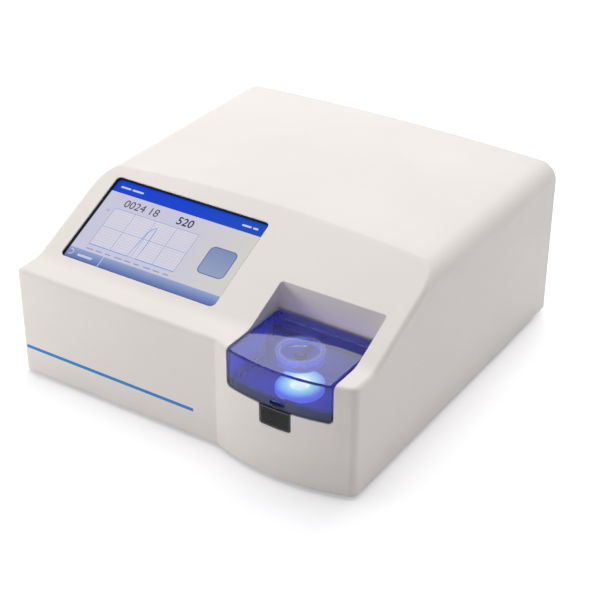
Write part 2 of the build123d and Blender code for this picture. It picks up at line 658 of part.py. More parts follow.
def lid():
    """Transparent moulded lid: top, bulged front wall, side skirts, hinge ears and the contact's ring."""
    plan = lid_plan(0.0, 0.0)
    xs = around(BULGE_X, LID_W)
    for x in xs:
        plan = fillet(corner(plan, x, LID_REAR), LID_CORNER_R)
    body = extrude(Plane.XY.offset(LID_LOW) * plan, amount=NOSE_TOP - LID_LOW)
    body = fillet(body.edges().filter_by(Axis.Y).group_by(Axis.Z)[0], LID_LOW_R)
    top_edges = body.edges().group_by(Axis.Z)[-1]
    rear = top_edges.filter_by(lambda e: (e @ 0.5).Y > LID_REAR - LID_CORNER_R)
    body = fillet(rear, LID_REAR_R)
    front = body.edges().group_by(Axis.Z)[-1].sort_by(Axis.Y)[:1]
    body = fillet(front, LID_EDGE_R)
    hollow = Plane.XY.offset(LID_LOW - 1) * lid_plan(LID_WALL, LID_SKIRT)
    body -= extrude(hollow, amount=LID_UNDER - LID_LOW + 1)
    outline = Polyline(
        (SKIRT_FRONT, LID_LOW - 1), (SKIRT_FRONT, LID_LOW), (SKIRT_REAR, SKIRT_HIGH),
        (LID_REAR + 1, SKIRT_HIGH), (LID_REAR + 1, LID_LOW - 1), close=True,
    )
    face = fillet(corner(make_face(outline), SKIRT_REAR, SKIRT_HIGH), SKIRT_R)
    body -= extrude(Plane.YZ * face, amount=WIDTH)
    for side, x in zip((1, -1), xs):
        ear = rod(EAR_R, (x, PIN_Y, PIN_Z), (x + side * EAR_W, PIN_Y, PIN_Z))
        ear += block(sorted((x, x + side * EAR_W)), (PIN_Y - EAR_R, PIN_Y), (PIN_Z, LID_UNDER))
        body += ear
    ring_low = (BULGE_X, WELL_Y, LID_UNDER - LID_BOSS_DROP)
    body += pipe(LID_BOSS_R, LID_BOSS_R - LID_BOSS_WALL, ring_low, (BULGE_X, WELL_Y, LID_UNDER))
    arm_zs = (LID_UNDER - LID_BOSS_DROP - 1, CARRIER_Z + CARRIER_T + ARM_T + 0.4)
    body -= block(around(BULGE_X, ARM_W + 0.6), (WELL_Y, WELL_Y + LID_BOSS_R + 1), arm_zs)
    slot_ys = (-BULGE_REACH - 1, bulge_y(BULGE_X, LID_WALL) + 1)
    body -= block(around(BULGE_X + KEEPER_SHIFT, KEEPER_W), slot_ys, around(KEEPER_Z, KEEPER_H))
    body -= rod(PIN_R + PIN_FIT, (xs[0] - 1, PIN_Y, PIN_Z), (xs[1] + 1, PIN_Y, PIN_Z))
    return body


def contact_carrier():
    """Clear disc in the lid's ring, with the hole that guides the plunger."""
    radius = LID_BOSS_R - LID_BOSS_WALL - CARRIER_FIT
    disc = rod(radius, (BULGE_X, WELL_Y, CARRIER_Z), (BULGE_X, WELL_Y, CARRIER_Z + CARRIER_T))
    return disc - rod(PLUNGER_R + PLUNGER_FIT, (BULGE_X, WELL_Y, CARRIER_Z - 1), (BULGE_X, WELL_Y, LID_UNDER))


def contact_plunger():
    """Sprung contact that meets the tube's cap: head below, stem, retaining ring above."""
    ring_low = CARRIER_Z + CARRIER_T + ARM_T + 0.1
    ring_top = LID_UNDER - PLUNGER_TRAVEL - 0.3
    low = PLUNGER_LOW
    top = PLUNGER_LOW + PLUNGER_HEAD_T
    head = [(0, low), (PLUNGER_HEAD_R - 1, low), (PLUNGER_HEAD_R, low + 1), (PLUNGER_HEAD_R, top)]
    stem = [(PLUNGER_R, top), (PLUNGER_R, ring_low)]
    ring = [(PLUNGER_R + 1, ring_low), (PLUNGER_R + 1, ring_top), (0, ring_top)]
    return turned(head + stem + ring, (BULGE_X, WELL_Y))


def plunger_spring():
    """Compression spring between the plunger's head and the carrier."""
    low = PLUNGER_LOW + PLUNGER_HEAD_T
    return spring(3.6, 0.6, CARRIER_Z - low, 2, Pos(BULGE_X, WELL_Y, low))


def contact_arm():
    """Flat conductor on the carrier, from the plunger's ring terminal to the hinge."""
    zs = (CARRIER_Z + CARRIER_T, CARRIER_Z + CARRIER_T + ARM_T)
    arm = block(around(BULGE_X, ARM_W), (WELL_Y, RECESS_BACK - ARM_END), zs)
    arm += rod(CARRIER_HUB_R, (BULGE_X, WELL_Y, zs[0]), (BULGE_X, WELL_Y, zs[1]))
    return arm - rod(PLUNGER_R + 0.3, (BULGE_X, WELL_Y, zs[0] - 1), (BULGE_X, WELL_Y, zs[1] + 1))


def hinge_block():
    """Black block behind the tube: front rib, trough for the lid's swing, rear wall."""
    rear = RECESS_BACK - HINGE_BACK_GAP
    xs = around(BULGE_X, RECESS_W - 2 * HINGE_BACK_GAP)
    rib = [(HINGE_FRONT, DECK_TOP), (HINGE_FRONT, HINGE_TOP - 1), (HINGE_FRONT + 1, HINGE_TOP)]
    trough = [(HINGE_FRONT + HINGE_RIB, HINGE_TOP), (PIN_Y - SWING_R + 1, PIN_Z - SWING_R)]
    body = across(rib + trough + [(rear, PIN_Z - SWING_R), (rear, DECK_TOP)], xs)
    body -= rod(SWING_R, (xs[0] - 1, PIN_Y, PIN_Z), (xs[1] + 1, PIN_Y, PIN_Z))
    for side in (-1, 1):
        ear_x = BULGE_X + side * (LID_W / 2 - EAR_W / 2 + 0.5)
        body -= block(around(ear_x, EAR_W + 2), (HINGE_FRONT - 1, PIN_Y), (SKIRT_HIGH - 12, PIN_Z))
    seat_ys = (HINGE_FRONT + 0.8, HINGE_FRONT + 0.8 + TERMINAL_L)
    return body - block(around(BULGE_X, ARM_W + 0.6), seat_ys, (HINGE_TOP - TERMINAL_H, HINGE_TOP + 1))


def fixed_terminal():
    """Sprung brass post in the hinge block: it meets the arm only when the lid is down."""
    low = HINGE_TOP - TERMINAL_H
    high = CARRIER_Z + CARRIER_T - 0.3
    return block(around(BULGE_X, ARM_W), (HINGE_FRONT + 1, HINGE_FRONT + 0.6 + TERMINAL_L), (low, high))


def hinge_pin():
    """Steel pin through the lid's ears, held in the recess walls."""
    return rod(PIN_R, (RECESS_LEFT - RECESS_WALL, PIN_Y, PIN_Z), (RECESS_RIGHT + RECESS_WALL, PIN_Y, PIN_Z))


def lid_spring():
    """Torsion coil on the pin beside the left ear; it lifts the lid when the catch lets go."""
    start = BULGE_X - LID_W / 2 + EAR_W + 0.3
    location = Location(Plane(origin=(start, PIN_Y, PIN_Z), z_dir=(1, 0, 0)))
    return spring(PIN_R + 0.15 + LID_WIRE, LID_WIRE, 6.0, 3, location)


def lid_magnet():
    """Interlock magnet inside the left skirt."""
    x = BULGE_X - LID_W / 2 + LID_SKIRT
    return block((x, x + 3), (10, 16), (LID_LOW + 1, LID_LOW + 5))


def lid_sensor():
    """Reed switch on a small board, on the outside of the recess's left wall."""
    x = RECESS_LEFT - RECESS_WALL
    board = block((x - BOARD_T, x), (6, 18), (LID_LOW - 1, LID_LOW + 11))
    return board + block((x - BOARD_T - 2, x - BOARD_T), (8, 16), (LID_LOW + 1, LID_LOW + 4))


# ---------------------------------------------------------------- latch
FACE_BACK = bulge_y(BULGE_X, BUTTON_T)
HOOK_FRONT = bulge_y(BULGE_X, LID_WALL) + 0.4


def latch_button():
    """Push button: face that continues the bulge, guided block, lip, and the hook behind the lid."""
    face = block(around(BULGE_X, BUTTON_W), (-SHELF, 0), (BUTTON_LOW, BUTTON_TOP))
    face = fillet(face.edges().filter_by(Axis.Y).group_by(Axis.Z)[0], BUTTON_R - BUTTON_GAP)
    centre_low = (BULGE_X, BULGE_Y, BUTTON_LOW - 1)
    centre_top = (BULGE_X, BULGE_Y, BUTTON_TOP + 1)
    face &= rod(BULGE_R, centre_low, centre_top) - rod(BULGE_R - BUTTON_T, centre_low, centre_top)
    lip_y = bulge_y(BULGE_X + BUTTON_W / 2 + 1, WALL) + BUTTON_GAP
    body = block(around(BULGE_X, BLOCK_W), (FACE_BACK - 0.5, BLOCK_END), (BLOCK_LOW, BLOCK_TOP))
    lip = block(around(BULGE_X, BUTTON_W + 3), (lip_y, lip_y + 1.2), (BUTTON_LOW - 0.8, BLOCK_TOP))
    hook_y = HOOK_FRONT + HOOK_NOSE
    low, high = around(KEEPER_Z, KEEPER_H - 0.8)
    shank = block(around(BULGE_X, HOOK_W), (hook_y, hook_y + HOOK_T), (BLOCK_TOP - 2, high))
    catch = [(hook_y, low), (HOOK_FRONT, low), (HOOK_FRONT, KEEPER_Z), (hook_y, high)]
    nose = across(catch, around(BULGE_X, HOOK_W))
    button = face + body + lip + shank + nose
    return button - rod(4.2, (BULGE_X, BLOCK_END - 5, SPRING_Z), (BULGE_X, BLOCK_END + 1, SPRING_Z))


SPRING_Z = (BLOCK_LOW + BLOCK_TOP) / 2


def latch_guide():
    """Open-fronted box under the deck that guides the button's block and backs its spring."""
    half = BLOCK_W / 2 + GUIDE_FIT
    floor = BLOCK_LOW - GUIDE_FIT
    deck = DECK_TOP - DECK_T
    outer_xs = around(BULGE_X, 2 * (half + GUIDE_WALL))
    outer = block(outer_xs, (GUIDE_FRONT, GUIDE_END), (floor - GUIDE_WALL, deck))
    inner = block(around(BULGE_X, 2 * half), (GUIDE_FRONT - 1, GUIDE_END - GUIDE_WALL), (floor, deck + 1))
    post = rod(2.2, (BULGE_X, GUIDE_END - GUIDE_WALL - 3, SPRING_Z), (BULGE_X, GUIDE_END - 1, SPRING_Z))
    return outer - inner + post


def latch_spring():
    """Return spring of the button."""
    start = BLOCK_END - 5
    length = GUIDE_END - GUIDE_WALL - start
    location = Location(Plane(origin=(BULGE_X, start, SPRING_Z), z_dir=(0, 1, 0)))
    return spring(3.5, 0.7, length, 3, location)


# ---------------------------------------------------------------- base and rear
VENT_X = 70.0
VENT_Y = DEPTH * 0.46
VENT_COUNT = 9
VENT_PITCH = 9.0
VENT_W = 3.5
VENT_L = 46.0


def base_plate():
    """Sheet base with a bent rear flange, vent slots and screw holes."""
    edge = WALL + BASE_GAP
    flange_w = WIDTH - 2 * (edge + LUG_T)
    plate = extrude(Plane.XY.offset(BASE_Z) * plan_section(edge, PANEL_IN), amount=SHEET)
    plate += block(around(0, flange_w), (PANEL_IN - SHEET, PANEL_IN), (BASE_Z, BASE_TOP + FLANGE_H))
    for centre_x in (-VENT_X, VENT_X):
        for i in range(VENT_COUNT):
            x = centre_x + (i - (VENT_COUNT - 1) / 2) * VENT_PITCH
            plate -= block(around(x, VENT_W), around(VENT_Y, VENT_L), (BASE_Z - 1, BASE_TOP + 1))
    for x, y in LUG_SPOTS:
        plate -= rod(M4_R + 0.2, (x, y, BASE_Z - 1), (x, y, BASE_TOP + 1))
    for x in PANEL_TABS:
        z = BASE_TOP + FLANGE_H / 2
        plate -= rod(M3_R, (x, PANEL_IN - SHEET - 1, z), (x, PANEL_IN + 1, z))
    return plate


def rubber_feet():
    """Four rubber feet under the base plate, bevelled where they meet the bench."""
    low = -FOOT_STAND
    outline = [(0, BASE_Z), (FOOT_R, BASE_Z), (FOOT_R, low + 1), (FOOT_R - 1, low), (0, low)]
    return [turned(outline, (x, y)) for x in (-FOOT_X, FOOT_X) for y in FOOT_YS]


GRILLE_SLOT = 3.4
GRILLE_PITCH = 6.2
GRILLE_COUNT = 8
GRILLE_RIB = 1.5


def rear_panel():
    """Sheet rear panel inside the case, cut out for its fittings and slotted for the fan."""
    body = case_form(WALL + BASE_GAP, BASE_TOP, REAR_FACE, 0.0)
    body &= block((-WIDTH, WIDTH), (PANEL_IN, REAR_FACE), (BASE_TOP, 2 * SHOULDER))
    ys = (PANEL_IN - 1, REAR_FACE + 1)
    for i in range(GRILLE_COUNT):
        rise = (i - (GRILLE_COUNT - 1) / 2) * GRILLE_PITCH
        half = sqrt((FAN_BORE_R - 1) ** 2 - (abs(rise) + GRILLE_SLOT / 2) ** 2)
        for xs in ((FAN_X - half, FAN_X - GRILLE_RIB), (FAN_X + GRILLE_RIB, FAN_X + half)):
            body -= block(xs, ys, around(FAN_Z + rise, GRILLE_SLOT))
    body -= block(around(INLET_X, INLET_W + 0.4), ys, around(INLET_Z, INLET_H + 0.4))
    body -= block(around(INLET_X, SWITCH_BODY_W + 0.4), ys, around(SWITCH_Z, SWITCH_BODY_H + 0.4))
    for x, width, height in PORTS:
        body -= block(around(x, width + 0.6), ys, (PORT_Z - 0.3, PORT_Z + height + 0.3))
    body -= rod(M4_R + 0.1, (PORT_X, ys[0], POST_Z), (PORT_X, ys[1], POST_Z))
    for x, z in FAN_SCREWS:
        body -= rod(M3_R + 0.2, (x, ys[0], z), (x, ys[1], z))
    for x, z in PANEL_SCREWS:
        body -= rod(M3_R + 0.2, (x, ys[0], z), (x, ys[1], z))
    return body


FAN_SCREWS = [(FAN_X + i * FAN_HOLES / 2, FAN_Z + k * FAN_HOLES / 2) for i in (-1, 1) for k in (-1, 1)]
PANEL_SCREWS = [(x, BASE_TOP + FLANGE_H / 2) for x in PANEL_TABS] + [
    (x, panel_top(x) - PANEL_SCREW_DROP) for x in PANEL_TABS
]

# ---------------------------------------------------------------- fan
FAN_CORNER_R = 4.0
MOTOR_R = 11.0
ROTOR_R = 12.5
TIP_GAP = 0.8
SHAFT_R = 1.5
SHAFT_FIT = 0.05
STRUT_T = 2.5


def fan_frame():
    """Square fan housing with its round duct, four struts, motor seat and shaft."""
    ys = (PANEL_IN - FAN_DEPTH, PANEL_IN)
    plane = Plane((FAN_X, ys[1], FAN_Z), x_dir=(1, 0, 0), z_dir=(0, -1, 0))
    body = extrude(plane * RectangleRounded(FAN_SIZE, FAN_SIZE, FAN_CORNER_R), amount=FAN_DEPTH)
    body -= rod(FAN_BORE_R, (FAN_X, ys[0] - 1, FAN_Z), (FAN_X, ys[1] + 1, FAN_Z))
    for angle in (45, 135):
        strut = Box(2 * FAN_BORE_R + 2, STRUT_T, 3.0)
        body += Pos(FAN_X, ys[0] + STRUT_T / 2, FAN_Z) * (Rot(0, angle, 0) * strut)
    body += rod(MOTOR_R, (FAN_X, ys[0], FAN_Z), (FAN_X, ys[0] + STRUT_T, FAN_Z))
    body += rod(SHAFT_R, (FAN_X, ys[0], FAN_Z), (FAN_X, ys[1] - 4, FAN_Z))
    for x, z in FAN_SCREWS:
        body -= rod(M3_R + 0.1, (x, ys[0] - 1, z), (x, ys[1] + 1, z))
    return body


def fan_rotor():
    """Hub with pitched blades, on the shaft."""
    ys = (PANEL_IN - FAN_DEPTH + STRUT_T + 0.6, PANEL_IN - 1.5)
    hub = rod(ROTOR_R, (FAN_X, ys[0], FAN_Z), (FAN_X, ys[1], FAN_Z))
    reach = FAN_BORE_R - TIP_GAP - ROTOR_R + 1
    depth = ys[1] - ys[0] - 2
    for i in range(BLADES):
        blade = Rot(35, 0, 0) * Box(reach, depth, 1.2)
        blade = Pos(ROTOR_R - 1 + reach / 2, 0, 0) * blade
        hub += Pos(FAN_X, (ys[0] + ys[1]) / 2, FAN_Z) * (Rot(0, i * 360 / BLADES, 0) * blade)
    hub &= rod(FAN_BORE_R - TIP_GAP, (FAN_X, ys[0], FAN_Z), (FAN_X, ys[1], FAN_Z))
    return hub - rod(SHAFT_R + SHAFT_FIT, (FAN_X, ys[0] - 1, FAN_Z), (FAN_X, PANEL_IN - 3.5, FAN_Z))


# ---------------------------------------------------------------- mains inlet, fuse drawer, switch
INLET_SOCKET_Z = INLET_Z + 5.0
DRAWER_Z = INLET_Z - 10.5
PIN_W = 4.0
PIN_T = 2.0
PIN_PITCH = 7.0
CONTACT_L = 13.0


def power_inlet():
    """Mains inlet: flange, body, shaped mouth for the plug and a slot for the fuse drawer."""
    ys = (REAR_FACE - INLET_DEPTH, REAR_FACE)
    front = REAR_FACE + INLET_FLANGE
    body = block(around(INLET_X, INLET_W), ys, around(INLET_Z, INLET_H))
    flange = block(around(INLET_X, INLET_W + 4), (REAR_FACE, front), around(INLET_Z, INLET_H + 4))
    body += fillet(flange.edges().filter_by(Axis.Y), 2.0)
    mouth = Plane((INLET_X, front, INLET_SOCKET_Z), x_dir=(1, 0, 0), z_dir=(0, -1, 0))
    shape = Rectangle(SOCKET_W, SOCKET_H)
    shape = chamfer(shape.vertices().group_by(Axis.Y)[-1], 4.5)
    body -= extrude(mouth * shape, amount=SOCKET_DEPTH)
    drawer_xs = around(INLET_X, DRAWER_W + 2 * DRAWER_FIT)
    drawer_zs = around(DRAWER_Z, DRAWER_H + 2 * DRAWER_FIT)
    return body - block(drawer_xs, (front - DRAWER_L - 1, front + 1), drawer_zs)


def inlet_pins():
    """Three flat pins in the inlet's mouth, the middle one raised."""
    floor = REAR_FACE + INLET_FLANGE - SOCKET_DEPTH
    ys = (floor, floor + CONTACT_L)
    spots = ((-PIN_PITCH, -2.0), (0.0, 2.0), (PIN_PITCH, -2.0))
    return [block(around(INLET_X + x, PIN_T), ys, around(INLET_SOCKET_Z + z, PIN_W)) for x, z in spots]


def fuse_drawer():
    """Sliding tray with a pull lip, open above for the fuses."""
    front = REAR_FACE + INLET_FLANGE
    body = block(around(INLET_X, DRAWER_W), (front - DRAWER_L, front), around(DRAWER_Z, DRAWER_H))
    body += block(around(INLET_X, DRAWER_W), (front, front + 1.5), around(DRAWER_Z, DRAWER_H - 2))
    for x in FUSE_XS:
        zs = (DRAWER_Z - FUSE_R - 0.3, DRAWER_Z + DRAWER_H)
        body -= block(around(x, 2 * FUSE_R + 0.6), (front - DRAWER_L + 1, front - 2), zs)
    return body


FUSE_XS = (INLET_X - 5.0, INLET_X + 5.0)


def fuses():
    """Two cartridge fuses lying in the drawer."""
    front = REAR_FACE + INLET_FLANGE
    return [rod(FUSE_R, (x, front - DRAWER_L + 1.3, DRAWER_Z), (x, front - 2.3, DRAWER_Z)) for x in FUSE_XS]


SWITCH_BODY_W = 14.0
SWITCH_BODY_H = 20.5
SWITCH_BEZEL = 1.8
SWITCH_DEPTH = 15.0
ROCKER_Y = REAR_FACE - 1.0
ROCKER_GAP = 0.9
TRUNNION_R = 1.2


def switch_frame():
    """Bezel and body of the mains switch, open for the rocker."""
    front = REAR_FACE + SWITCH_BEZEL
    well_zs = around(SWITCH_Z, 2 * (ROCKER_HALF + ROCKER_GAP))
    reach = ROCKER_W / 2 + 1.3
    body_ys = (REAR_FACE - SWITCH_DEPTH, REAR_FACE)
    bezel_w = SWITCH_BODY_W + 2.4
    body = block(around(INLET_X, SWITCH_BODY_W), body_ys, around(SWITCH_Z, SWITCH_BODY_H))
    body += block(around(INLET_X, bezel_w), (REAR_FACE, front), around(SWITCH_Z, SWITCH_BODY_H + 3))
    body -= block(around(INLET_X, ROCKER_W + 0.6), (REAR_FACE - 10, front + 1), well_zs)
    seats = ((INLET_X - reach, ROCKER_Y, SWITCH_Z), (INLET_X + reach, ROCKER_Y, SWITCH_Z))
    return body - rod(TRUNNION_R + SHAFT_FIT, *seats)


def switch_rocker():
    """Two-way rocker on its trunnions, resting in the off position."""
    half = [(2.8, 0.0), (4.6, ROCKER_HALF), (-1.5, ROCKER_HALF - 0.4), (-5.0, 3.0)]
    other = [(out, -along) for out, along in reversed(half[1:])]
    body = across(half + other, (-ROCKER_W / 2, ROCKER_W / 2))
    body += rod(TRUNNION_R, (-ROCKER_W / 2 - 1.1, 0, 0), (ROCKER_W / 2 + 1.1, 0, 0))
    return Pos(INLET_X, ROCKER_Y, SWITCH_Z) * (Rot(ROCKER_TILT, 0, 0) * body)


# ---------------------------------------------------------------- data ports and earth post
PORT_B_W = 12.0
PORT_B_H = 11.0
PORT_A_W = 14.4
PORT_A_H = 7.0
PORT_WALL = 0.9
PORT_L = 16.0
PORT_PROUD = 0.6
PORTS = ((PORT_X - PORT_HALF, PORT_B_W, PORT_B_H), (PORT_X + PORT_HALF, PORT_A_W, PORT_A_H))


def data_ports():
    """Two shielded sockets with their tongues, on the port board."""
    out = []
    ys = (REAR_FACE + PORT_PROUD - PORT_L, REAR_FACE + PORT_PROUD)
    for x, width, height in PORTS:
        inner_zs = (PORT_Z + PORT_WALL, PORT_Z + height - PORT_WALL)
        shell = block(around(x, width), ys, (PORT_Z, PORT_Z + height))
        shell -= block(around(x, width - 2 * PORT_WALL), (ys[0] + 2, ys[1] + 1), inner_zs)
        tongue = block(around(x, width - 5), (ys[0] + 1, ys[1] - 3), around(PORT_Z + height / 2, 2.0))
        out.append(shell + tongue)
    return out


PORT_BOARD_W = 50.0
PORT_BOARD_L = 40.0
PILLAR_IN = 5.0


def port_board():
    """Board that carries the sockets, on its two pillars."""
    ys = (PANEL_IN - PORT_BOARD_L, PANEL_IN - 0.5)
    chip_ys = (ys[0] + 6, ys[0] + 16)
    plate = block(around(PORT_X, PORT_BOARD_W), ys, (PORT_Z - BOARD_T, PORT_Z))
    return plate + block(around(PORT_X, 12), chip_ys, (PORT_Z, PORT_Z + 6))


def port_pillars():
    """Hexagonal pillars under the port board."""
    out = []
    height = PORT_Z - BOARD_T - BASE_TOP
    for side in (-1, 1):
        x = PORT_X + side * (PORT_BOARD_W / 2 - PILLAR_IN)
        for y in (PANEL_IN - PORT_BOARD_L + PILLAR_IN, PANEL_IN - PILLAR_IN - 4):
            hexagon = Plane.XY.offset(BASE_TOP) * (Pos(x, y) * RegularPolygon(3.0, 6))
            out.append(extrude(hexagon, amount=height))
    return out


def ground_post():
    """Earth stud through the rear panel with its two nuts."""
    stud = rod(M4_R, (PORT_X, PANEL_IN - 10, POST_Z), (PORT_X, REAR_FACE + 6.5, POST_Z))
    for y in (REAR_FACE, PANEL_IN - NUT_T):
        plane = Plane((PORT_X, y, POST_Z), x_dir=(1, 0, 0), z_dir=(0, 1, 0))
        stud += extrude(plane * RegularPolygon(4.0, 6), amount=NUT_T)
    return stud


# ---------------------------------------------------------------- electronics
STAND = 10.0  # boards above the base plate
STUB_W = 2.8
SUPPLY_XS = (19.0 - WIDTH / 2, -44.0)
SUPPLY_YS = (DEPTH - 197.0, DEPTH - 63.0)
SUPPLY_H = 38.0
MAIN_XS = (30.0 - WIDTH / 2, 10.0)
MAIN_YS = (18.0, SUPPLY_YS[0] - 10.0)
MAIN_CHIPS = (  # place as a share of the board, then width, depth, height
    (0.43, 0.52, 22, 22, 2.0),  # processor
    (0.64, 0.54, 12, 20, 1.4),  # memory
    (0.19, 0.42, 16, 28, 11),  # relay
    (0.81, 0.32, 12, 40, 9),  # supply connector
    (0.21, 0.80, 30, 10, 8),  # display connector
    (0.53, 0.86, 40, 8, 9),  # port connector
    (0.54, 0.12, 26, 8, 8),  # lid connector
)
HV_XS = (-35.0, WIDTH / 2 - 25.0)
HV_YS = (DEPTH - 145.0, DEPTH - 40.0)
HV_CHIPS = (
    (0.10, 0.24, 20, 28, 16),  # relay
    (0.10, 0.57, 20, 28, 16),  # relay
    (0.86, 0.11, 20, 10, 12),  # output terminals
    (0.12, 0.86, 24, 12, 10),  # input terminals
)
CAP_R = 15.0
CAP_H = 50.0
CAP_PITCH = 34.0
CAP_START = (HV_XS[0] + 47.0, HV_YS[0] + 20.0)


def board_spots(xs, ys):
    """Fixing points near the corners of a board."""
    return [(x, y) for x in (xs[0] + 5, xs[1] - 5) for y in (ys[0] + 5, ys[1] - 5)]


def standoffs(spots):
    """Hexagonal nylon supports on the base plate, each with a stub through the board."""
    out = []
    for x, y in spots:
        pillar = extrude(Plane.XY.offset(BASE_TOP) * (Pos(x, y) * RegularPolygon(3.2, 6)), amount=STAND)
        stub = block(around(x, STUB_W), around(y, STUB_W), (BASE_TOP + STAND, BASE_TOP + STAND + BOARD_T + 1))
        out.append(pillar + stub)
    return out


def stub_holes(spots):
    """Holes in a board for its supports' stubs."""
    low = BASE_TOP + STAND - 1
    holes = [block(around(x, STUB_W), around(y, STUB_W), (low, low + BOARD_T + 2)) for x, y in spots]
    return Part() + holes


def board(xs, ys, chips):
    """Circuit board on its supports, with the larger parts that stand on it."""
    low = BASE_TOP + STAND
    top = low + BOARD_T
    out = block(xs, ys, (low, top)) - stub_holes(board_spots(xs, ys))
    for across_x, back_y, w, d, h in chips:
        x = xs[0] + across_x * (xs[1] - xs[0])
        y = ys[0] + back_y * (ys[1] - ys[0])
        out += block(around(x, w), around(y, d), (top, top + h))
    return out


def main_board():
    """Controller board with its processor, memory, relays and connectors."""
    return board(MAIN_XS, MAIN_YS, MAIN_CHIPS)


def high_voltage_board():
    """Pulse board with its relays and output terminals."""
    return board(HV_XS, HV_YS, HV_CHIPS)


CAP_SPOTS = [(CAP_START[0] + i * CAP_PITCH, CAP_START[1] + k * CAP_PITCH) for i in range(3) for k in range(2)]
CLAMP_RIM = 4.0
CLAMP_T = 3.0
CLAMP_LEG = 5.0


def capacitors():
    """Bank of storage capacitors standing on the pulse board."""
    low = BASE_TOP + STAND + BOARD_T
    return [rod(CAP_R, (x, y, low), (x, y, low + CAP_H)) for x, y in CAP_SPOTS]


def capacitor_clamp():
    """Plate that rings the capacitors near their tops."""
    foot = BASE_TOP + STAND + BOARD_T
    z = foot + CAP_H * 0.72
    xs = (CAP_SPOTS[0][0] - CAP_R - CLAMP_RIM, CAP_SPOTS[-1][0] + CAP_R + CLAMP_RIM)
    ys = (CAP_SPOTS[0][1] - CAP_R - CLAMP_RIM, CAP_SPOTS[-1][1] + CAP_R + CLAMP_RIM)
    plate = block(xs, ys, (z, z + CLAMP_T))
    for x, y in CAP_SPOTS:
        plate -= rod(CAP_R + 0.2, (x, y, z - 1), (x, y, z + CLAMP_T + 1))
    for leg_xs in ((xs[0], xs[0] + CLAMP_LEG), (xs[1] - CLAMP_LEG, xs[1])):
        for leg_ys in ((ys[0], ys[0] + CLAMP_LEG), (ys[1] - CLAMP_LEG, ys[1])):
            plate += block(leg_xs, leg_ys, (foot, z))
    return plate


SINK_W = 30.0
SINK_L = 65.0
SINK_H = 50.0
SINK_REAR = 155.0  # from its rear end to the case's rear
SINK_WEB = 5.0  # wall that the switches sit on
SINK_FINS = 7
FIN_T = 2.0
SINK_XS = (MAIN_XS[1] + 10.0, MAIN_XS[1] + 10.0 + SINK_W)
SINK_YS = (DEPTH - SINK_REAR - SINK_L, DEPTH - SINK_REAR)
CORE_SIZE = (50.0, 24.0, 42.0)
TRANSFORMER = (SINK_XS[1] + CORE_SIZE[0] / 2, SINK_YS[1] - 20.0)  # plan centre


def transformer_core():
    """Laminated core: an upright window frame with a middle leg."""
    x, y = TRANSFORMER
    w, d, h = CORE_SIZE
    core = block(around(x, w), around(y, d), (BASE_TOP, BASE_TOP + h))
    leg = w / 4
    window_zs = (BASE_TOP + leg / 2 + 2, BASE_TOP + h - leg / 2 - 2)
    for side in (-1, 1):
        core -= block(around(x + side * leg, leg), around(y, d + 2), window_zs)
    return core


def transformer_winding():
    """Winding round the core's middle leg."""
    x, y = TRANSFORMER
    w, d, h = CORE_SIZE
    leg = w / 4
    zs = (BASE_TOP + leg / 2 + 2.5, BASE_TOP + h - leg / 2 - 2.5)
    coil = block(around(x, 3 * leg - 1), around(y, d + 2 * leg - 1), zs)
    coil = fillet(coil.edges().filter_by(Axis.Z), 5.0)
    return coil - block(around(x, leg + 0.2), around(y, d + 0.2), (zs[0] - 1, zs[1] + 1))


def heat_sink():
    """Finned extrusion that cools the pulse switches."""
    zs = (BASE_TOP, BASE_TOP + SINK_H)
    sink = block((SINK_XS[0], SINK_XS[0] + SINK_WEB), SINK_YS, zs)
    pitch = (SINK_L - FIN_T) / (SINK_FINS - 1)
    for i in range(SINK_FINS):
        y = SINK_YS[0] + FIN_T / 2 + i * pitch
        sink += block((SINK_XS[0] + SINK_WEB - 1, SINK_XS[1]), around(y, FIN_T), zs)
    return sink


MODULE_SIZE = (5.0, 16.0, 22.0)
MODULE_IN = 14.0  # from the heat sink's ends
MODULE_RISE = 20.0


def switch_modules():
    """Power transistors clamped to the flat side of the heat sink."""
    w, d, h = MODULE_SIZE
    low = BASE_TOP + MODULE_RISE
    out = []
    for y in (SINK_YS[0] + MODULE_IN, SINK_YS[1] - MODULE_IN):
        out.append(block((SINK_XS[0] - w, SINK_XS[0]), around(y, d), (low, low + h)))
    return out


RESISTOR_W = 24.0
RESISTOR_L = 42.0
RESISTOR_H = 17.0
RESISTOR_GAP = 12.0  # to the transformer beside it
RESISTOR_FLANGE = 4.0


def discharge_resistor():
    """Metal-clad resistor screwed to the base plate."""
    left = TRANSFORMER[0] + CORE_SIZE[0] / 2 + RESISTOR_GAP
    xs = (left, left + RESISTOR_W)
    ys = (SINK_YS[1] - RESISTOR_L, SINK_YS[1])
    body = block(xs, ys, (BASE_TOP, BASE_TOP + 3))
    core = block((xs[0] + RESISTOR_FLANGE, xs[1] - RESISTOR_FLANGE), ys, (BASE_TOP, BASE_TOP + RESISTOR_H))
    return body + fillet(core.edges().filter_by(Axis.Y).group_by(Axis.Z)[-1], 4.0)


def power_supply():
    """Enclosed supply unit on the base plate."""
    return block(SUPPLY_XS, SUPPLY_YS, (BASE_TOP, BASE_TOP + SUPPLY_H))


TERMINAL_COUNT = 7


def supply_terminals():
    """Screw terminal block at the end of the supply unit."""
    ys = (SUPPLY_YS[1], SUPPLY_YS[1] + 13)
    body = block((SUPPLY_XS[0] + 6, SUPPLY_XS[1] - 20), ys, (BASE_TOP + 4, BASE_TOP + 18))
    pitch = (SUPPLY_XS[1] - SUPPLY_XS[0] - 28) / TERMINAL_COUNT
    for i in range(TERMINAL_COUNT):
        x = SUPPLY_XS[0] + 7.5 + pitch * (i + 0.5)
        body -= block(around(x, pitch - 2), (ys[0] + 3, ys[1] + 1), (BASE_TOP + 10, BASE_TOP + 19))
    return body


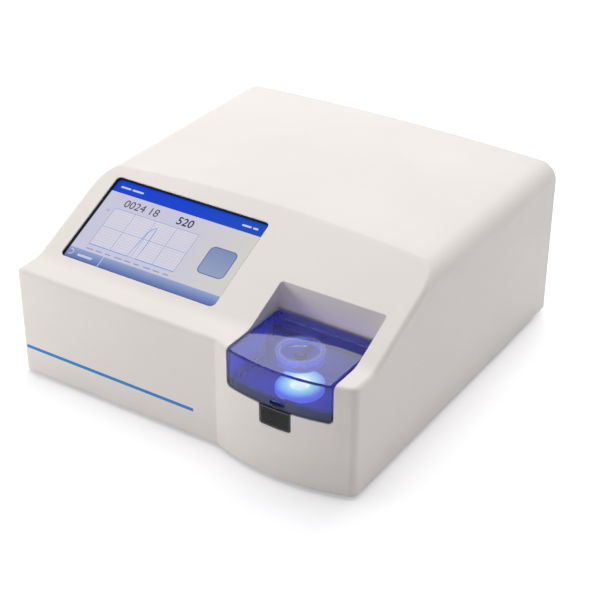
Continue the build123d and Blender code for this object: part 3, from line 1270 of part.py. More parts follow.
# ---------------------------------------------------------------- write every node
def main():
    """Build and write all nodes."""
    os.makedirs("parts", exist_ok=True)
    write("top_housing", top_housing())
    write("base_plate", base_plate())
    write("rear_panel", rear_panel())
    write("rubber_feet", *rubber_feet())
    lugs = [(x, y, BASE_Z) for x, y in LUG_SPOTS]
    write("base_screws", *screws(lugs, (0, 0, 1), M4_R, SHEET + 9))
    panel = [(x, REAR_FACE, z) for x, z in PANEL_SCREWS]
    write("rear_panel_screws", *screws(panel, (0, -1, 0), M3_R, SHEET + 2))
    write("display_gasket", display_gasket())
    write("touch_panel", touch_panel())
    write("display_module", display_module())
    write("display_frame", display_frame())
    write("display_standoffs", *display_standoffs())
    write("display_board", display_board())
    write("chamber_tub", chamber_tub())
    write("tube_socket", tube_socket())
    write("lower_electrode", lower_electrode())
    write("electrode_nut", electrode_nut())
    write("light_board", light_board())
    write("lid", lid())
    write("contact_carrier", contact_carrier())
    write("contact_plunger", contact_plunger())
    write("plunger_spring", plunger_spring())
    write("contact_arm", contact_arm())
    write("hinge_block", hinge_block())
    write("fixed_terminal", fixed_terminal())
    write("hinge_pin", hinge_pin())
    write("lid_spring", lid_spring())
    write("lid_magnet", lid_magnet())
    write("lid_sensor", lid_sensor())
    write("latch_button", latch_button())
    write("latch_guide", latch_guide())
    write("latch_spring", latch_spring())
    write("main_board", main_board())
    write("high_voltage_board", high_voltage_board())
    spots = board_spots(MAIN_XS, MAIN_YS) + board_spots(HV_XS, HV_YS)
    write("board_standoffs", *standoffs(spots))
    write("capacitors", *capacitors())
    write("capacitor_clamp", capacitor_clamp())
    write("transformer_core", transformer_core())
    write("transformer_winding", transformer_winding())
    write("heat_sink", heat_sink())
    write("switch_modules", *switch_modules())
    write("discharge_resistor", discharge_resistor())
    write("power_supply", power_supply())
    write("supply_terminals", supply_terminals())
    write("power_inlet", power_inlet())
    write("inlet_pins", *inlet_pins())
    write("fuse_drawer", fuse_drawer())
    write("fuses", *fuses())
    write("switch_frame", switch_frame())
    write("switch_rocker", switch_rocker())
    write("fan_frame", fan_frame())
    write("fan_rotor", fan_rotor())
    fan = [(x, REAR_FACE, z) for x, z in FAN_SCREWS]
    write("fan_screws", *screws(fan, (0, -1, 0), M3_R, SHEET + 8))
    write("port_board", port_board())
    write("port_pillars", *port_pillars())
    write("data_ports", *data_ports())
    write("ground_post", ground_post())


if __name__ == "__main__":
    main()
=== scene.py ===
"""Looks of the bench-top electroporator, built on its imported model: finishes, screen picture, knurl, screws, studio.

Sizes are in millimetres in the case frame (x from the case's middle to the right, y from the straight front face
rearwards, z up from the case's lower edge) until `at` turns them into metres of the model's own frame.
"""
import json
import logging
import math
from dataclasses import dataclass
from enum import Enum
from functools import reduce

import bmesh
import bpy
from mathutils import Matrix, Vector

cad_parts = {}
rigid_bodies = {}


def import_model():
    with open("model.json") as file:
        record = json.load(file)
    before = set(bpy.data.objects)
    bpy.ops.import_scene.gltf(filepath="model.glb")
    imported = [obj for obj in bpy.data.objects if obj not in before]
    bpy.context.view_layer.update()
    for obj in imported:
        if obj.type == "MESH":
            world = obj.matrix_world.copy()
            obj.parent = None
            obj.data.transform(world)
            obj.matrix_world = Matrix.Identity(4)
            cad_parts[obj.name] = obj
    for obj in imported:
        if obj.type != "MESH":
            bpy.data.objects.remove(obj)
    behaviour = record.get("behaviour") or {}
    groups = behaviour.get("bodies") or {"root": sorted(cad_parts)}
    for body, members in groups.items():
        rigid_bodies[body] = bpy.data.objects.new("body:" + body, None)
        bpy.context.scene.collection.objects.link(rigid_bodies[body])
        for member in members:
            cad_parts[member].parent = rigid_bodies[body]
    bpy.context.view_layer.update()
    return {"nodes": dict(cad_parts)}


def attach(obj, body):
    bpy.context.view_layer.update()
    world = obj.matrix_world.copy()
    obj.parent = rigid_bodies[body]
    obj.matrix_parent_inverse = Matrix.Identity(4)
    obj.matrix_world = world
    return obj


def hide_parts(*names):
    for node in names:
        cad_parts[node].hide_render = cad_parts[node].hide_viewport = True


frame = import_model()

logging.basicConfig(level=logging.INFO, format="%(message)s")
LOG = logging.getLogger("electroporator")

Socket = bpy.types.NodeSocket
Mesh = bpy.types.Mesh
Colour = tuple[float, float, float, float]
Sides = tuple[float, float, float, float]
Triple = tuple[float, float, float]
Pair = tuple[float, float]

MM = 0.001
CASE_ORIGIN = Vector((0.0, -157.2, 4.0))
SLOPE_DEG = 25.5
SLOPE_FOOT = Vector((0.0, 25.9, 95.0))
BULGE_X = 96.8
BULGE_R = 178.0
BULGE_Y = 167.4
WELL_Y = 24.5
SCREW_HEAD = 2.2
HEAD_TO_SHANK = 1.9
SCREW_APART = 10.0
EDGE_WEAR_AND_HIGHLIGHT_SPAN = (0.80, 0.98)


def at(x: float, y: float, z: float) -> Vector:
    """Turn a point of the case frame into the model's frame.

    Args:
        x: Millimetres from the case's middle to the right.
        y: Millimetres from the straight front face rearwards.
        z: Millimetres from the case's lower edge upwards.

    Returns:
        The point in metres.
    """
    return (Vector((x, y, z)) + CASE_ORIGIN) * MM


def on_slope(x: float, up: float, depth: float) -> Vector:
    """Point under the sloped panel.

    Args:
        x: Millimetres from the case's middle.
        up: Millimetres along the slope from its foot.
        depth: Millimetres below the slope's face.

    Returns:
        The point in metres, in the model's frame.
    """
    lean = math.radians(SLOPE_DEG)
    along = Vector((0.0, math.cos(lean), math.sin(lean)))
    normal = Vector((0.0, -math.sin(lean), math.cos(lean)))
    point = SLOPE_FOOT + along * up - normal * depth
    return at(x, point.y, point.z)


def rgb(red: int, green: int, blue: int) -> Colour:
    """Scene-linear colour of a screen colour.

    Args:
        red: 0 to 255.
        green: 0 to 255.
        blue: 0 to 255.

    Returns:
        Linear red, green, blue and an alpha of one.
    """

    def linear(value: int) -> float:
        """Undo the screen's curve for one channel."""
        share = value / 255.0
        return share / 12.92 if share <= 0.04045 else ((share + 0.055) / 1.055) ** 2.4

    return (linear(red), linear(green), linear(blue), 1.0)


# ---- node trees
class Wiring:
    """A node tree, wired with short calls."""

    def __init__(self, tree: bpy.types.NodeTree) -> None:
        """Take a tree to wire."""
        self.tree = tree

    def add(self, kind: str, inputs: dict | None = None, **props: object) -> bpy.types.Node:
        """Add a node.

        Args:
            kind: The node's type name.
            inputs: Socket names or numbers, each with a value or an output to link.
            **props: Properties of the node.

        Returns:
            The node.
        """
        node = self.tree.nodes.new(kind)
        for key, value in props.items():
            setattr(node, key, value)
        for key, value in (inputs or {}).items():
            if isinstance(value, Socket):
                self.tree.links.new(value, node.inputs[key])
            else:
                node.inputs[key].default_value = value
        return node

    def span(self, value: Socket, low: float, high: float, out_low: float, out_high: float) -> Socket:
        """Map a value from one range to another, clamped."""
        ends = {"Value": value, "From Min": low, "From Max": high, "To Min": out_low, "To Max": out_high}
        return self.add("ShaderNodeMapRange", ends).outputs["Result"]

    def maths(self, operation: str, a: object, b: object = 0.0) -> Socket:
        """Arithmetic on two values."""
        return self.add("ShaderNodeMath", {0: a, 1: b}, operation=operation).outputs[0]

    def minus(self, a: object, b: object) -> Socket:
        """One value less another."""
        return self.maths("SUBTRACT", a, b)

    def product(self, *values: object) -> Socket:
        """All the values multiplied together."""
        return reduce(lambda a, b: self.maths("MULTIPLY", a, b), values)

    def rays(self) -> tuple[Socket, Socket]:
        """Whether a ray is the camera's own, and whether it was mirrored or let through."""
        path = self.add("ShaderNodeLightPath").outputs
        return path["Is Camera Ray"], self.maths("MAXIMUM", path["Is Glossy Ray"], path["Is Transmission Ray"])


class Shader(Wiring):
    """A material's node tree."""

    def __init__(self, name: str) -> None:
        """Start an empty tree.

        Args:
            name: Name of the material.
        """
        self.material = bpy.data.materials.new("look_" + name)
        self.material.use_nodes = True
        super().__init__(self.material.node_tree)
        self.tree.nodes.clear()
        self.coords = self.add("ShaderNodeTexCoord").outputs["Object"]

    def height(self) -> Socket:
        """Height in the model's frame."""
        return self.add("ShaderNodeSeparateXYZ", {"Vector": self.coords}).outputs["Z"]

    def above(self, low_z: float, high_z: float, below: float, over: float) -> Socket:
        """A value that changes between two heights of the case frame, given in millimetres."""
        return self.span(self.height(), at(0, 0, low_z).z, at(0, 0, high_z).z, below, over)

    def distance(self, x: float, y: float, z: float | None = None) -> Socket:
        """Distance from an upright axis, or from a point.

        Args:
            x: Across, in the case frame.
            y: Rearwards, in the case frame.
            z: Height of the point, or None for the axis.

        Returns:
            The distance in metres.
        """
        centre = at(x, y, z or 0.0)
        place = {"Vector": self.coords, "Location": -centre}
        if z is None:
            place.update({"Location": (-centre.x, -centre.y, 0.0), "Scale": (1.0, 1.0, 0.0)})
        moved = self.add("ShaderNodeMapping", place).outputs[0]
        return self.add("ShaderNodeVectorMath", {0: moved}, operation="LENGTH").outputs["Value"]

    def scaled(self, x: float, y: float, z: float) -> Socket:
        """Object coordinates stretched along each axis."""
        return self.add("ShaderNodeMapping", {"Vector": self.coords, "Scale": (x, y, z)}).outputs[0]

    def noise(self, scale: float, detail: float = 2.0, vector: Socket | None = None) -> Socket:
        """Noise over the object.

        Args:
            scale: Cells per metre.
            detail: Octaves.
            vector: Coordinates, or the object's own.

        Returns:
            The noise, from 0 to 1.
        """
        node = self.add("ShaderNodeTexNoise", {"Vector": vector or self.coords, "Scale": scale, "Detail": detail})
        return node.outputs["Fac"]

    def ramp(self, factor: Socket, stops: list[tuple[float, tuple]]) -> Socket:
        """Colour ramp.

        Args:
            factor: Value that drives the ramp.
            stops: Positions with their colours.

        Returns:
            The ramp's colour.
        """
        node = self.add("ShaderNodeValToRGB", {"Fac": factor})
        elements = node.color_ramp.elements
        while len(elements) < len(stops):
            elements.new(1.0)
        for element, (position, colour) in zip(elements, stops):
            element.position = position
            element.color = colour
        return node.outputs["Color"]

    def mix(self, factor: object, a: object, b: object, blend: str = "MIX") -> Socket:
        """Blend of two colours through the mix node's colour sockets."""
        return self.add("ShaderNodeMix", {0: factor, 6: a, 7: b}, data_type="RGBA", blend_type=blend).outputs[2]

    def bump(self, height: Socket, strength: float, depth_mm: float, normal: Socket | None = None) -> Socket:
        """Bump from a height.

        Args:
            height: Value from 0 to 1.
            strength: Share of the bump that shows.
            depth_mm: Depth of the relief.
            normal: Normal to build on.

        Returns:
            The bumped normal.
        """
        inputs = {"Height": height, "Strength": strength, "Distance": depth_mm * MM}
        if normal is not None:
            inputs["Normal"] = normal
        return self.add("ShaderNodeBump", inputs).outputs["Normal"]

    def soft_edges(self, radius_mm: float) -> Socket:
        """Normal rounded over near edges."""
        return self.add("ShaderNodeBevel", {"Radius": radius_mm * MM}, samples=6).outputs["Normal"]

    def edge_wear_and_highlight(self, rounded: Socket, amount: float) -> Socket:
        """Wear along sharp edges, which on moulded plastic is also a painted highlight.

        Args:
            rounded: Normal rounded over the edges, from soft_edges.
            amount: Wear and painted highlight at the edge itself.

        Returns:
            The wear and painted highlight, nought away from the edges.
        """
        facing = self.add("ShaderNodeNewGeometry").outputs["Normal"]
        agree = self.add("ShaderNodeVectorMath", {0: rounded, 1: facing}, operation="DOT_PRODUCT")
        return self.span(agree.outputs["Value"], *EDGE_WEAR_AND_HIGHLIGHT_SPAN, amount, 0.0)

    def finish(self, inputs: dict, volume: Socket | None = None) -> bpy.types.Material:
        """Close the tree with its surface shader.

        Args:
            inputs: Values and links of the surface shader.
            volume: Volume shader, if the piece has one.

        Returns:
            The material.
        """
        surface = self.add("ShaderNodeBsdfPrincipled", inputs).outputs["BSDF"]
        out = self.add("ShaderNodeOutputMaterial", {"Surface": surface})
        if volume is not None:
            self.tree.links.new(volume, out.inputs["Volume"])
        return self.material


def tint(colour: tuple, factor: float) -> Colour:
    """A colour made lighter or darker by a factor."""
    return (min(1.0, colour[0] * factor), min(1.0, colour[1] * factor), min(1.0, colour[2] * factor), 1.0)


# ---- finishes
@dataclass(frozen=True)
class Coating:
    """What every finish has: a name, a colour and a way to make its material."""

    name: str
    colour: tuple

    def surface(self, s: Shader) -> dict:
        """Inputs of the surface shader."""
        return {"Base Color": self.colour}

    def volume(self, s: Shader) -> Socket | None:
        """The volume shader, if the finish has one."""
        return None

    def build(self) -> bpy.types.Material:
        """Make the material."""
        s = Shader(self.name)
        return s.finish(self.surface(s), self.volume(s))


@dataclass(frozen=True)
class MouldedPlastic(Coating):
    """Moulded plastic with a fine spark-eroded grain, faint flow marks, and edges that are rubbed glossier and
    lightened as a painted highlight.
    """

    roughness: float = 0.42
    grain: float = 1500.0
    grain_mm: float = 0.02
    mottle: float = 0.02
    edge_mm: float = 0.5
    rub: float = 0.3
    coat: float = 0.0

    def surface(self, s: Shader) -> dict:
        """Inputs of the surface shader.

        Args:
            s: The material's tree.

        Returns:
            The inputs by name.
        """
        fine = s.noise(self.grain, 2.0)
        flow = s.span(s.noise(9.0, 3.0), 0.3, 0.7, 0.0, 1.0)
        shade = s.mix(flow, tint(self.colour, 1.0 - self.mottle), tint(self.colour, 1.0 + self.mottle))
        speck = s.mix(s.span(fine, 0.55, 0.75, 0.0, 0.25), shade, tint(self.colour, 1.0 - 2.5 * self.mottle))
        rounded = s.soft_edges(self.edge_mm)
        edge_wear_and_highlight = s.edge_wear_and_highlight(rounded, self.rub)
        rough = s.span(s.noise(60.0, 4.0), 0.3, 0.7, self.roughness - 0.04, self.roughness + 0.05)
        normal = s.bump(fine, 0.35, self.grain_mm, rounded)
        # edges lightened towards white: a painted highlight along the rims; the edges are also rubbed glossier
        return {"Base Color": s.mix(edge_wear_and_highlight, speck, tint(self.colour, 1.6)), "Normal": normal,
                "Roughness": s.minus(rough, s.product(edge_wear_and_highlight, 0.3)),
                "Coat Weight": self.coat, "Coat Roughness": 0.15}


@dataclass(frozen=True)
class PaintedLightPlastic(MouldedPlastic):
    """Moulded plastic with a painted pool of the chamber's blue light, as emission up to a height."""

    painted_glow: tuple = (0.07, 0.09, 1.0, 1.0)
    painted_light_strength: float = 0.18
    high_z: float = 61.0
    source_z: float = 64.0
    near_mm: float = 16.0
    far_mm: float = 62.0

    def surface(self, s: Shader) -> dict:
        """The plastic's inputs with the light that falls on it.

        Args:
            s: The material's tree.

        Returns:
            The inputs by name.
        """
        # painted light: blue emission strongest near the well, only below high_z
        near = s.span(s.distance(BULGE_X, WELL_Y, self.source_z), self.near_mm * MM, self.far_mm * MM,
                      self.painted_light_strength, self.painted_light_strength * 0.3)
        under = s.above(self.high_z - 1.5, self.high_z, 1.0, 0.0)
        return super().surface(s) | {"Emission Color": self.painted_glow, "Emission Strength": s.product(near, under)}


@dataclass(frozen=True)
class TintedClear(Coating):
    """Clear moulded plastic whose depth of colour grows with its thickness."""

    depth_colour: tuple
    density: float
    roughness: float = 0.03
    ior: float = 1.45

    def surface(self, s: Shader) -> dict:
        """Inputs of the surface shader.

        Args:
            s: The material's tree.

        Returns:
            The inputs by name.
        """
        rough = s.span(s.noise(45.0, 3.0), 0.35, 0.7, self.roughness, self.roughness + 0.01)
        return {"Base Color": self.colour, "Roughness": rough, "Normal": s.bump(s.noise(14.0, 1.0), 0.04, 0.3),
                "IOR": self.ior, "Transmission Weight": 1.0}

    def volume(self, s: Shader) -> Socket:
        """Colour taken up in the depth."""
        inputs = {"Color": self.depth_colour, "Density": self.density}
        return s.add("ShaderNodeVolumeAbsorption", inputs).outputs[0]


@dataclass(frozen=True)
class PaintedGlowClear(TintedClear):
    """Clear plastic with the chamber's blue light painted on as emission above the sill, most of it near the tube, and
    a painted highlight round the ring.
    """

    painted_glow: tuple = (0.15, 0.15, 1.0, 1.0)
    wall_glow: float = 0.13
    top_glow: float = 0.07
    sill_z: float = 70.0
    top_z: float = 91.0
    forward_mm: float = 20.0
    reach_mm: float = 75.0
    ring_glow: tuple = (0.42, 0.50, 1.0, 1.0)
    ring_strength: float = 0.09
    ring_z: float = 89.5
    ring_mm: tuple = (15.4, 18.4)

    def surface(self, s: Shader) -> dict:
        """The clear plastic's inputs with the light that it scatters.

        Args:
            s: The material's tree.

        Returns:
            The inputs by name.
        """
        # painted light: blue emission above the sill, fading towards the top and away from the tube
        over_sill = s.above(self.sill_z - 0.5, self.sill_z + 2.5, 0.0, self.wall_glow)
        to_top = s.above(self.top_z - 8.0, self.top_z + 1.0, 1.0, self.top_glow / self.wall_glow)
        near = s.span(s.distance(BULGE_X, WELL_Y - self.forward_mm), 0.0, self.reach_mm * MM, 1.0, 0.35)
        haze = s.span(s.noise(60.0, 3.0), 0.3, 0.7, 0.93, 1.07)
        # painted highlight: a glowing band round the ring under the lid's top
        reach = s.distance(BULGE_X, WELL_Y)
        inner, outer = (edge * MM for edge in self.ring_mm)
        ring = s.product(s.span(reach, inner - MM, inner, 0.0, 1.0), s.span(reach, outer, outer + MM, 1.0, 0.0),
                         s.above(self.ring_z - 1.5, self.ring_z, 0.0, 1.0))
        power = s.maths("ADD", s.product(over_sill, to_top, near, haze), s.product(ring, self.ring_strength))
        return super().surface(s) | {"Emission Color": s.mix(ring, self.painted_glow, self.ring_glow),
                                     "Emission Strength": power}


@dataclass(frozen=True)
class Metal(Coating):
    """Metal with a drawn or tumbled surface and faint staining."""

    roughness: float = 0.3
    stretch: tuple = (200.0, 2600.0, 2600.0)
    scratch_mm: float = 0.01
    rub: float = 0.5

    def surface(self, s: Shader) -> dict:
        """Inputs of the surface shader.

        Args:
            s: The material's tree.

        Returns:
            The inputs by name.
        """
        lines = s.noise(1.0, 3.0, s.scaled(*self.stretch))
        stain = s.noise(55.0, 4.0)
        rounded = s.soft_edges(0.2)
        edge_wear_and_highlight = s.edge_wear_and_highlight(rounded, self.rub)
        stained = s.mix(s.span(stain, 0.4, 0.75, 0.0, 1.0), self.colour, tint(self.colour, 0.82))
        shade = s.mix(edge_wear_and_highlight, stained, tint(self.colour, 1.25))
        rough = s.span(lines, 0.3, 0.7, self.roughness - 0.08, self.roughness + 0.1)
        return {"Base Color": shade, "Metallic": 1.0, "Roughness": rough,
                "Normal": s.bump(lines, 0.4, self.scratch_mm, rounded)}


@dataclass(frozen=True)
class PaintedSheet(Coating):
    """Powder-coated sheet metal with its orange-peel surface."""

    roughness: float = 0.5
    rub: float = 0.4

    def surface(self, s: Shader) -> dict:
        """Inputs of the surface shader.

        Args:
            s: The material's tree.

        Returns:
            The inputs by name.
        """
        peel = s.noise(620.0, 2.0)
        rounded = s.soft_edges(0.4)
        even = s.mix(s.noise(25.0, 3.0), tint(self.colour, 0.97), tint(self.colour, 1.02))
        shade = s.mix(s.edge_wear_and_highlight(rounded, self.rub), even, tint(self.colour, 1.3))
        rough = s.span(peel, 0.3, 0.7, self.roughness - 0.06, self.roughness + 0.06)
        return {"Base Color": shade, "Roughness": rough, "Normal": s.bump(peel, 0.3, 0.06, rounded)}


@dataclass(frozen=True)
class Rubber(Coating):
    """Matt rubber or foam with fine pores and dust."""

    roughness: float = 0.85

    def surface(self, s: Shader) -> dict:
        """Inputs of the surface shader.

        Args:
            s: The material's tree.

        Returns:
            The inputs by name.
        """
        pores = s.noise(900.0, 4.0)
        dust = s.span(s.noise(35.0, 5.0), 0.5, 0.8, 0.0, 0.25)
        shade = s.mix(dust, self.colour, tint(self.colour, 2.2))
        return {"Base Color": shade, "Roughness": self.roughness, "Normal": s.bump(pores, 0.5, 0.08, s.soft_edges(0.4))}


@dataclass(frozen=True)
class CircuitBoard(Coating):
    """Lacquered board with a grid of tracks and gilt pads; what stands on it is dark."""

    top_z: float

    def surface(self, s: Shader) -> dict:
        """Inputs of the surface shader.

        Args:
            s: The material's tree.

        Returns:
            The inputs by name.
        """
        tracks = s.add("ShaderNodeTexBrick", {"Vector": s.coords, "Scale": 95.0, "Mortar Size": 0.03,
                                              "Color1": (0, 0, 0, 1), "Color2": (0.2, 0.2, 0.2, 1),
                                              "Mortar": (1, 1, 1, 1)}).outputs["Color"]
        pads = s.add("ShaderNodeTexVoronoi", {"Vector": s.coords, "Scale": 240.0}).outputs["Distance"]
        lacquer = s.mix(tracks, self.colour, tint(self.colour, 1.7))
        with_pads = s.mix(s.span(pads, 0.16, 0.2, 1.0, 0.0), lacquer, rgb(205, 180, 110))
        stands = s.maths("GREATER_THAN", s.height(), self.top_z * MM)
        shade = s.mix(stands, with_pads, s.mix(s.noise(30.0, 1.0), rgb(30, 30, 32), rgb(52, 52, 55)))
        return {"Base Color": shade, "Roughness": s.span(tracks, 0.0, 1.0, 0.3, 0.45),
                "Normal": s.bump(tracks, 0.4, 0.03, s.soft_edges(0.2))}


@dataclass(frozen=True)
class PaintedGlowSocket(Coating):
    """Milky socket with the light from below painted on as emission: brightest round the tube's well, fading over the
    flange.
    """

    halo: tuple
    rim: tuple
    edge: tuple
    strength: float
    reach_mm: float = 18.5
    stops: tuple[float, ...] = (0.0, 0.34, 0.52, 0.80, 1.0)

    def surface(self, s: Shader) -> dict:
        """Inputs of the surface shader.

        Args:
            s: The material's tree.

        Returns:
            The inputs by name.
        """
        # painted light: the socket glows as emission, weaker low down
        share = s.span(s.distance(BULGE_X, WELL_Y), 0.0, self.reach_mm * MM, 0.0, 1.0)
        colours = (self.colour, self.colour, self.halo, self.rim, self.edge)
        colour = s.ramp(share, list(zip(self.stops, colours)))
        grain = s.span(s.noise(420.0, 2.0), 0.3, 0.7, self.strength * 0.92, self.strength * 1.08)
        power = s.product(grain, s.above(44.0, 62.0, 0.2, 1.0))
        return {"Base Color": rgb(150, 160, 175), "Roughness": 0.35, "Emission Color": colour,
                "Emission Strength": power, "Normal": s.bump(s.noise(700.0), 0.2, 0.03, s.soft_edges(0.4))}


@dataclass(frozen=True)
class ScreenInk(Coating):
    """One lit colour of the screen, with a fine pixel pitch, that may fade to another along an axis."""

    strength: float = 1.0
    other: tuple | None = None
    fade: tuple | None = None

    def surface(self, s: Shader) -> dict:
        """Inputs of the surface shader.

        Args:
            s: The material's tree.

        Returns:
            The inputs by name.
        """
        cells = s.add("ShaderNodeTexChecker", {"Vector": s.coords, "Scale": 3600.0, "Color1": (1, 1, 1, 1),
                                               "Color2": (0.93, 0.93, 0.96, 1)}).outputs["Color"]
        if self.fade is None:
            share = s.span(s.noise(12.0, 1.0), 0.3, 0.7, 0.0, 1.0)
        else:
            axis, start, end = self.fade
            along = s.add("ShaderNodeSeparateXYZ", {"Vector": s.coords}).outputs[axis]
            share = s.span(along, start * MM, end * MM, 0.0, 1.0)
        shade = s.mix(share, self.colour, self.other or tint(self.colour, 0.95))
        return {"Base Color": (0.006, 0.006, 0.008, 1.0), "Roughness": 0.1, "Specular IOR Level": 0.2,
                "Emission Color": s.mix(1.0, shade, cells, "MULTIPLY"), "Emission Strength": self.strength}


@dataclass(frozen=True)
class PrintedInk(Coating):
    """Screen-printed ink on moulded plastic."""

    roughness: float = 0.35

    def surface(self, s: Shader) -> dict:
        """Inputs of the surface shader.

        Args:
            s: The material's tree.

        Returns:
            The inputs by name.
        """
        shade = s.mix(s.span(s.noise(300.0, 3.0), 0.35, 0.7, 0.0, 1.0), self.colour, tint(self.colour, 1.12))
        return {"Base Color": shade, "Roughness": self.roughness, "Normal": s.bump(s.noise(1500.0), 0.2, 0.01)}


MADE: dict[str, bpy.types.Material] = {}


class Finish(Enum):
    """Every finish of the instrument."""

    # the case's sharp edges are lightened to white as a painted highlight
    CASE = MouldedPlastic("case_plastic", rgb(243, 237, 230), 0.40, edge_mm=1.0, rub=0.7)
    TUB = PaintedLightPlastic("tub_plastic", rgb(66, 86, 84), 0.45, high_z=61.6)
    HINGE = PaintedLightPlastic("hinge_plastic", rgb(24, 25, 34), 0.45, painted_light_strength=0.2, high_z=85.5)
    BLACK = MouldedPlastic("black_plastic", rgb(22, 22, 24), 0.45)
    BUTTON = MouldedPlastic("button_plastic", rgb(66, 66, 68), 0.34, mottle=0.06)
    INLET = MouldedPlastic("inlet_plastic", rgb(26, 26, 28), 0.5)
    ROCKER = MouldedPlastic("rocker_plastic", rgb(18, 18, 20), 0.3)
    NYLON = MouldedPlastic("nylon", rgb(226, 224, 214), 0.5)
    TERMINAL = MouldedPlastic("terminal_plastic", rgb(48, 92, 62), 0.45)
    MAGNET = MouldedPlastic("magnet_plastic", rgb(60, 62, 66), 0.5)
    LID = PaintedGlowClear("lid_plastic", (0.82, 0.88, 1.0, 1.0), (0.25, 0.34, 0.86, 1.0), 290.0, roughness=0.008)
    CLEAR = TintedClear("carrier_plastic", (0.9, 0.92, 1.0, 1.0), (0.7, 0.75, 1.0, 1.0), 60.0)
    GLASS = MouldedPlastic("panel_glass", rgb(8, 9, 12), 0.08, grain_mm=0.0, edge_mm=0.2, coat=0.6)
    STEEL = Metal("steel", rgb(190, 190, 188), 0.28)
    ZINC = Metal("zinc_sheet", rgb(176, 178, 180), 0.42)
    ALUMINIUM = Metal("aluminium", rgb(200, 201, 203), 0.38)
    BRASS = Metal("brass", rgb(205, 170, 95), 0.28)
    GILT = Metal("gilt", rgb(222, 184, 100), 0.2)
    ARM = Metal("dark_metal", rgb(70, 72, 78), 0.42)
    CORE = Metal("laminated_core", rgb(96, 92, 88), 0.5, stretch=(200.0, 2400.0, 200.0))
    COPPER = Metal("winding_copper", rgb(176, 104, 62), 0.4, stretch=(150.0, 150.0, 3000.0), scratch_mm=0.3)
    PANEL = PaintedSheet("panel_paint", rgb(214, 211, 206))
    BASE = PaintedSheet("base_paint", rgb(196, 194, 190))
    FOOT = Rubber("foot_rubber", rgb(32, 32, 33))
    GASKET = Rubber("gasket_foam", rgb(14, 14, 16))
    MAIN_BOARD = CircuitBoard("main_board_lacquer", rgb(18, 74, 48), 20.7)
    PULSE_BOARD = CircuitBoard("pulse_board_lacquer", rgb(20, 66, 86), 20.7)
    SMALL_BOARD = CircuitBoard("small_board_lacquer", rgb(18, 74, 48), 400.0)
    SLEEVE = MouldedPlastic("capacitor_sleeve", rgb(28, 38, 66), 0.35)
    SOCKET = PaintedGlowSocket("socket_painted_glow", (0.95, 0.95, 0.50, 1.0), (0.46, 0.80, 0.41, 1.0), (0.22, 0.46, 0.37, 1.0),
                       (0.10, 0.12, 0.34, 1.0), 1.65)
    STRIPE = PrintedInk("stripe_ink", rgb(0, 130, 206))
    # the ground and title bar turn warmer towards the right: a painted reflection
    INK_BACK = ScreenInk("screen_ground", rgb(204, 202, 222), 0.98, rgb(214, 212, 202), ("X", -60.0, 12.0))
    INK_TITLE = ScreenInk("screen_title", rgb(14, 66, 208), 0.95, rgb(24, 76, 190), ("X", -60.0, 12.0))
    INK_FOOT = ScreenInk("screen_footer", rgb(80, 106, 172), 0.95, rgb(160, 176, 214), ("Z", 99.8, 105.4))
    INK_FIELD = ScreenInk("screen_field", rgb(220, 218, 230), 0.98)
    INK_GRID = ScreenInk("screen_grid", rgb(150, 158, 205), 0.9)
    INK_GRID_FINE = ScreenInk("screen_grid_fine", rgb(186, 184, 216), 0.9)
    INK_CURVE = ScreenInk("screen_curve", rgb(96, 156, 232), 0.95)
    INK_BUTTON = ScreenInk("screen_button", rgb(150, 164, 196), 0.95, rgb(128, 146, 188), ("Z", 112.0, 122.0))
    INK_BUTTON_EDGE = ScreenInk("screen_button_edge", rgb(104, 120, 168), 0.9)
    INK_TEXT = ScreenInk("screen_text", rgb(58, 66, 88), 0.85)
    INK_LIGHT = ScreenInk("screen_light", rgb(206, 220, 246), 0.9)

    def material(self) -> bpy.types.Material:
        """The finish's material, made at its first use.

        Returns:
            The material.
        """
        if self.name not in MADE:
            MADE[self.name] = self.value.build()
        return MADE[self.name]


@dataclass
class SubAssembly:
    """Pieces of the instrument that are dressed together."""

    finishes: tuple[tuple[Finish, str], ...] = ()

    def dress(self) -> None:
        """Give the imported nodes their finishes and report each."""
        for finish, nodes in self.finishes:
            for name in nodes.split():
                materials = frame["nodes"][name].data.materials
                materials.clear()
                materials.append(finish.material())
                LOG.info("dressed %s: %s", name, finish.value.name)


def link(name: str, data: bpy.types.ID) -> bpy.types.Object:
    """Put a new object in the scene.

    Args:
        name: Its name.
        data: Its mesh, curve, lamp or camera.

    Returns:
        The object.
    """
    obj = bpy.data.objects.new(name, data)
    bpy.context.scene.collection.objects.link(obj)
    return obj


def taken(name: str, holder: bpy.types.Object) -> Mesh:
    """Take an object's final shape as a plain mesh and remove the object.

    Args:
        name: Name of the mesh.
        holder: The object.

    Returns:
        The mesh.
    """
    bpy.context.view_layer.update()
    graph = bpy.context.evaluated_depsgraph_get()
    mesh = bpy.data.meshes.new_from_object(holder.evaluated_get(graph))
    mesh.name = name
    bpy.data.objects.remove(holder)
    return mesh


def keep(name: str, mesh: Mesh, body: str, *replaced: str) -> bpy.types.Object:
    """Link a finished mesh as a piece.

    Args:
        name: The piece's name.
        mesh: Its mesh, in place in the model's frame.
        body: Body that it rides on.
        *replaced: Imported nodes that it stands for.

    Returns:
        The piece.
    """
    obj = link(name, mesh)
    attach(obj, body)
    if replaced:
        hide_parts(*replaced)
    LOG.info("built %s: %d faces", name, len(mesh.polygons))
    return obj


def worked_mesh(name: str, work: bmesh.types.BMesh, finish: Finish) -> Mesh:
    """Close a worked shape as a finished mesh.

    Args:
        name: Name of the mesh.
        work: The shape, freed here.
        finish: Its finish.

    Returns:
        The mesh.
    """
    mesh = bpy.data.meshes.new(name)
    work.to_mesh(mesh)
    work.free()
    mesh.materials.append(finish.material())
    return mesh


# ---- geometry trees
SOCKETS = {float: "Float", int: "Int", tuple: "Vector", type(None): "Material"}


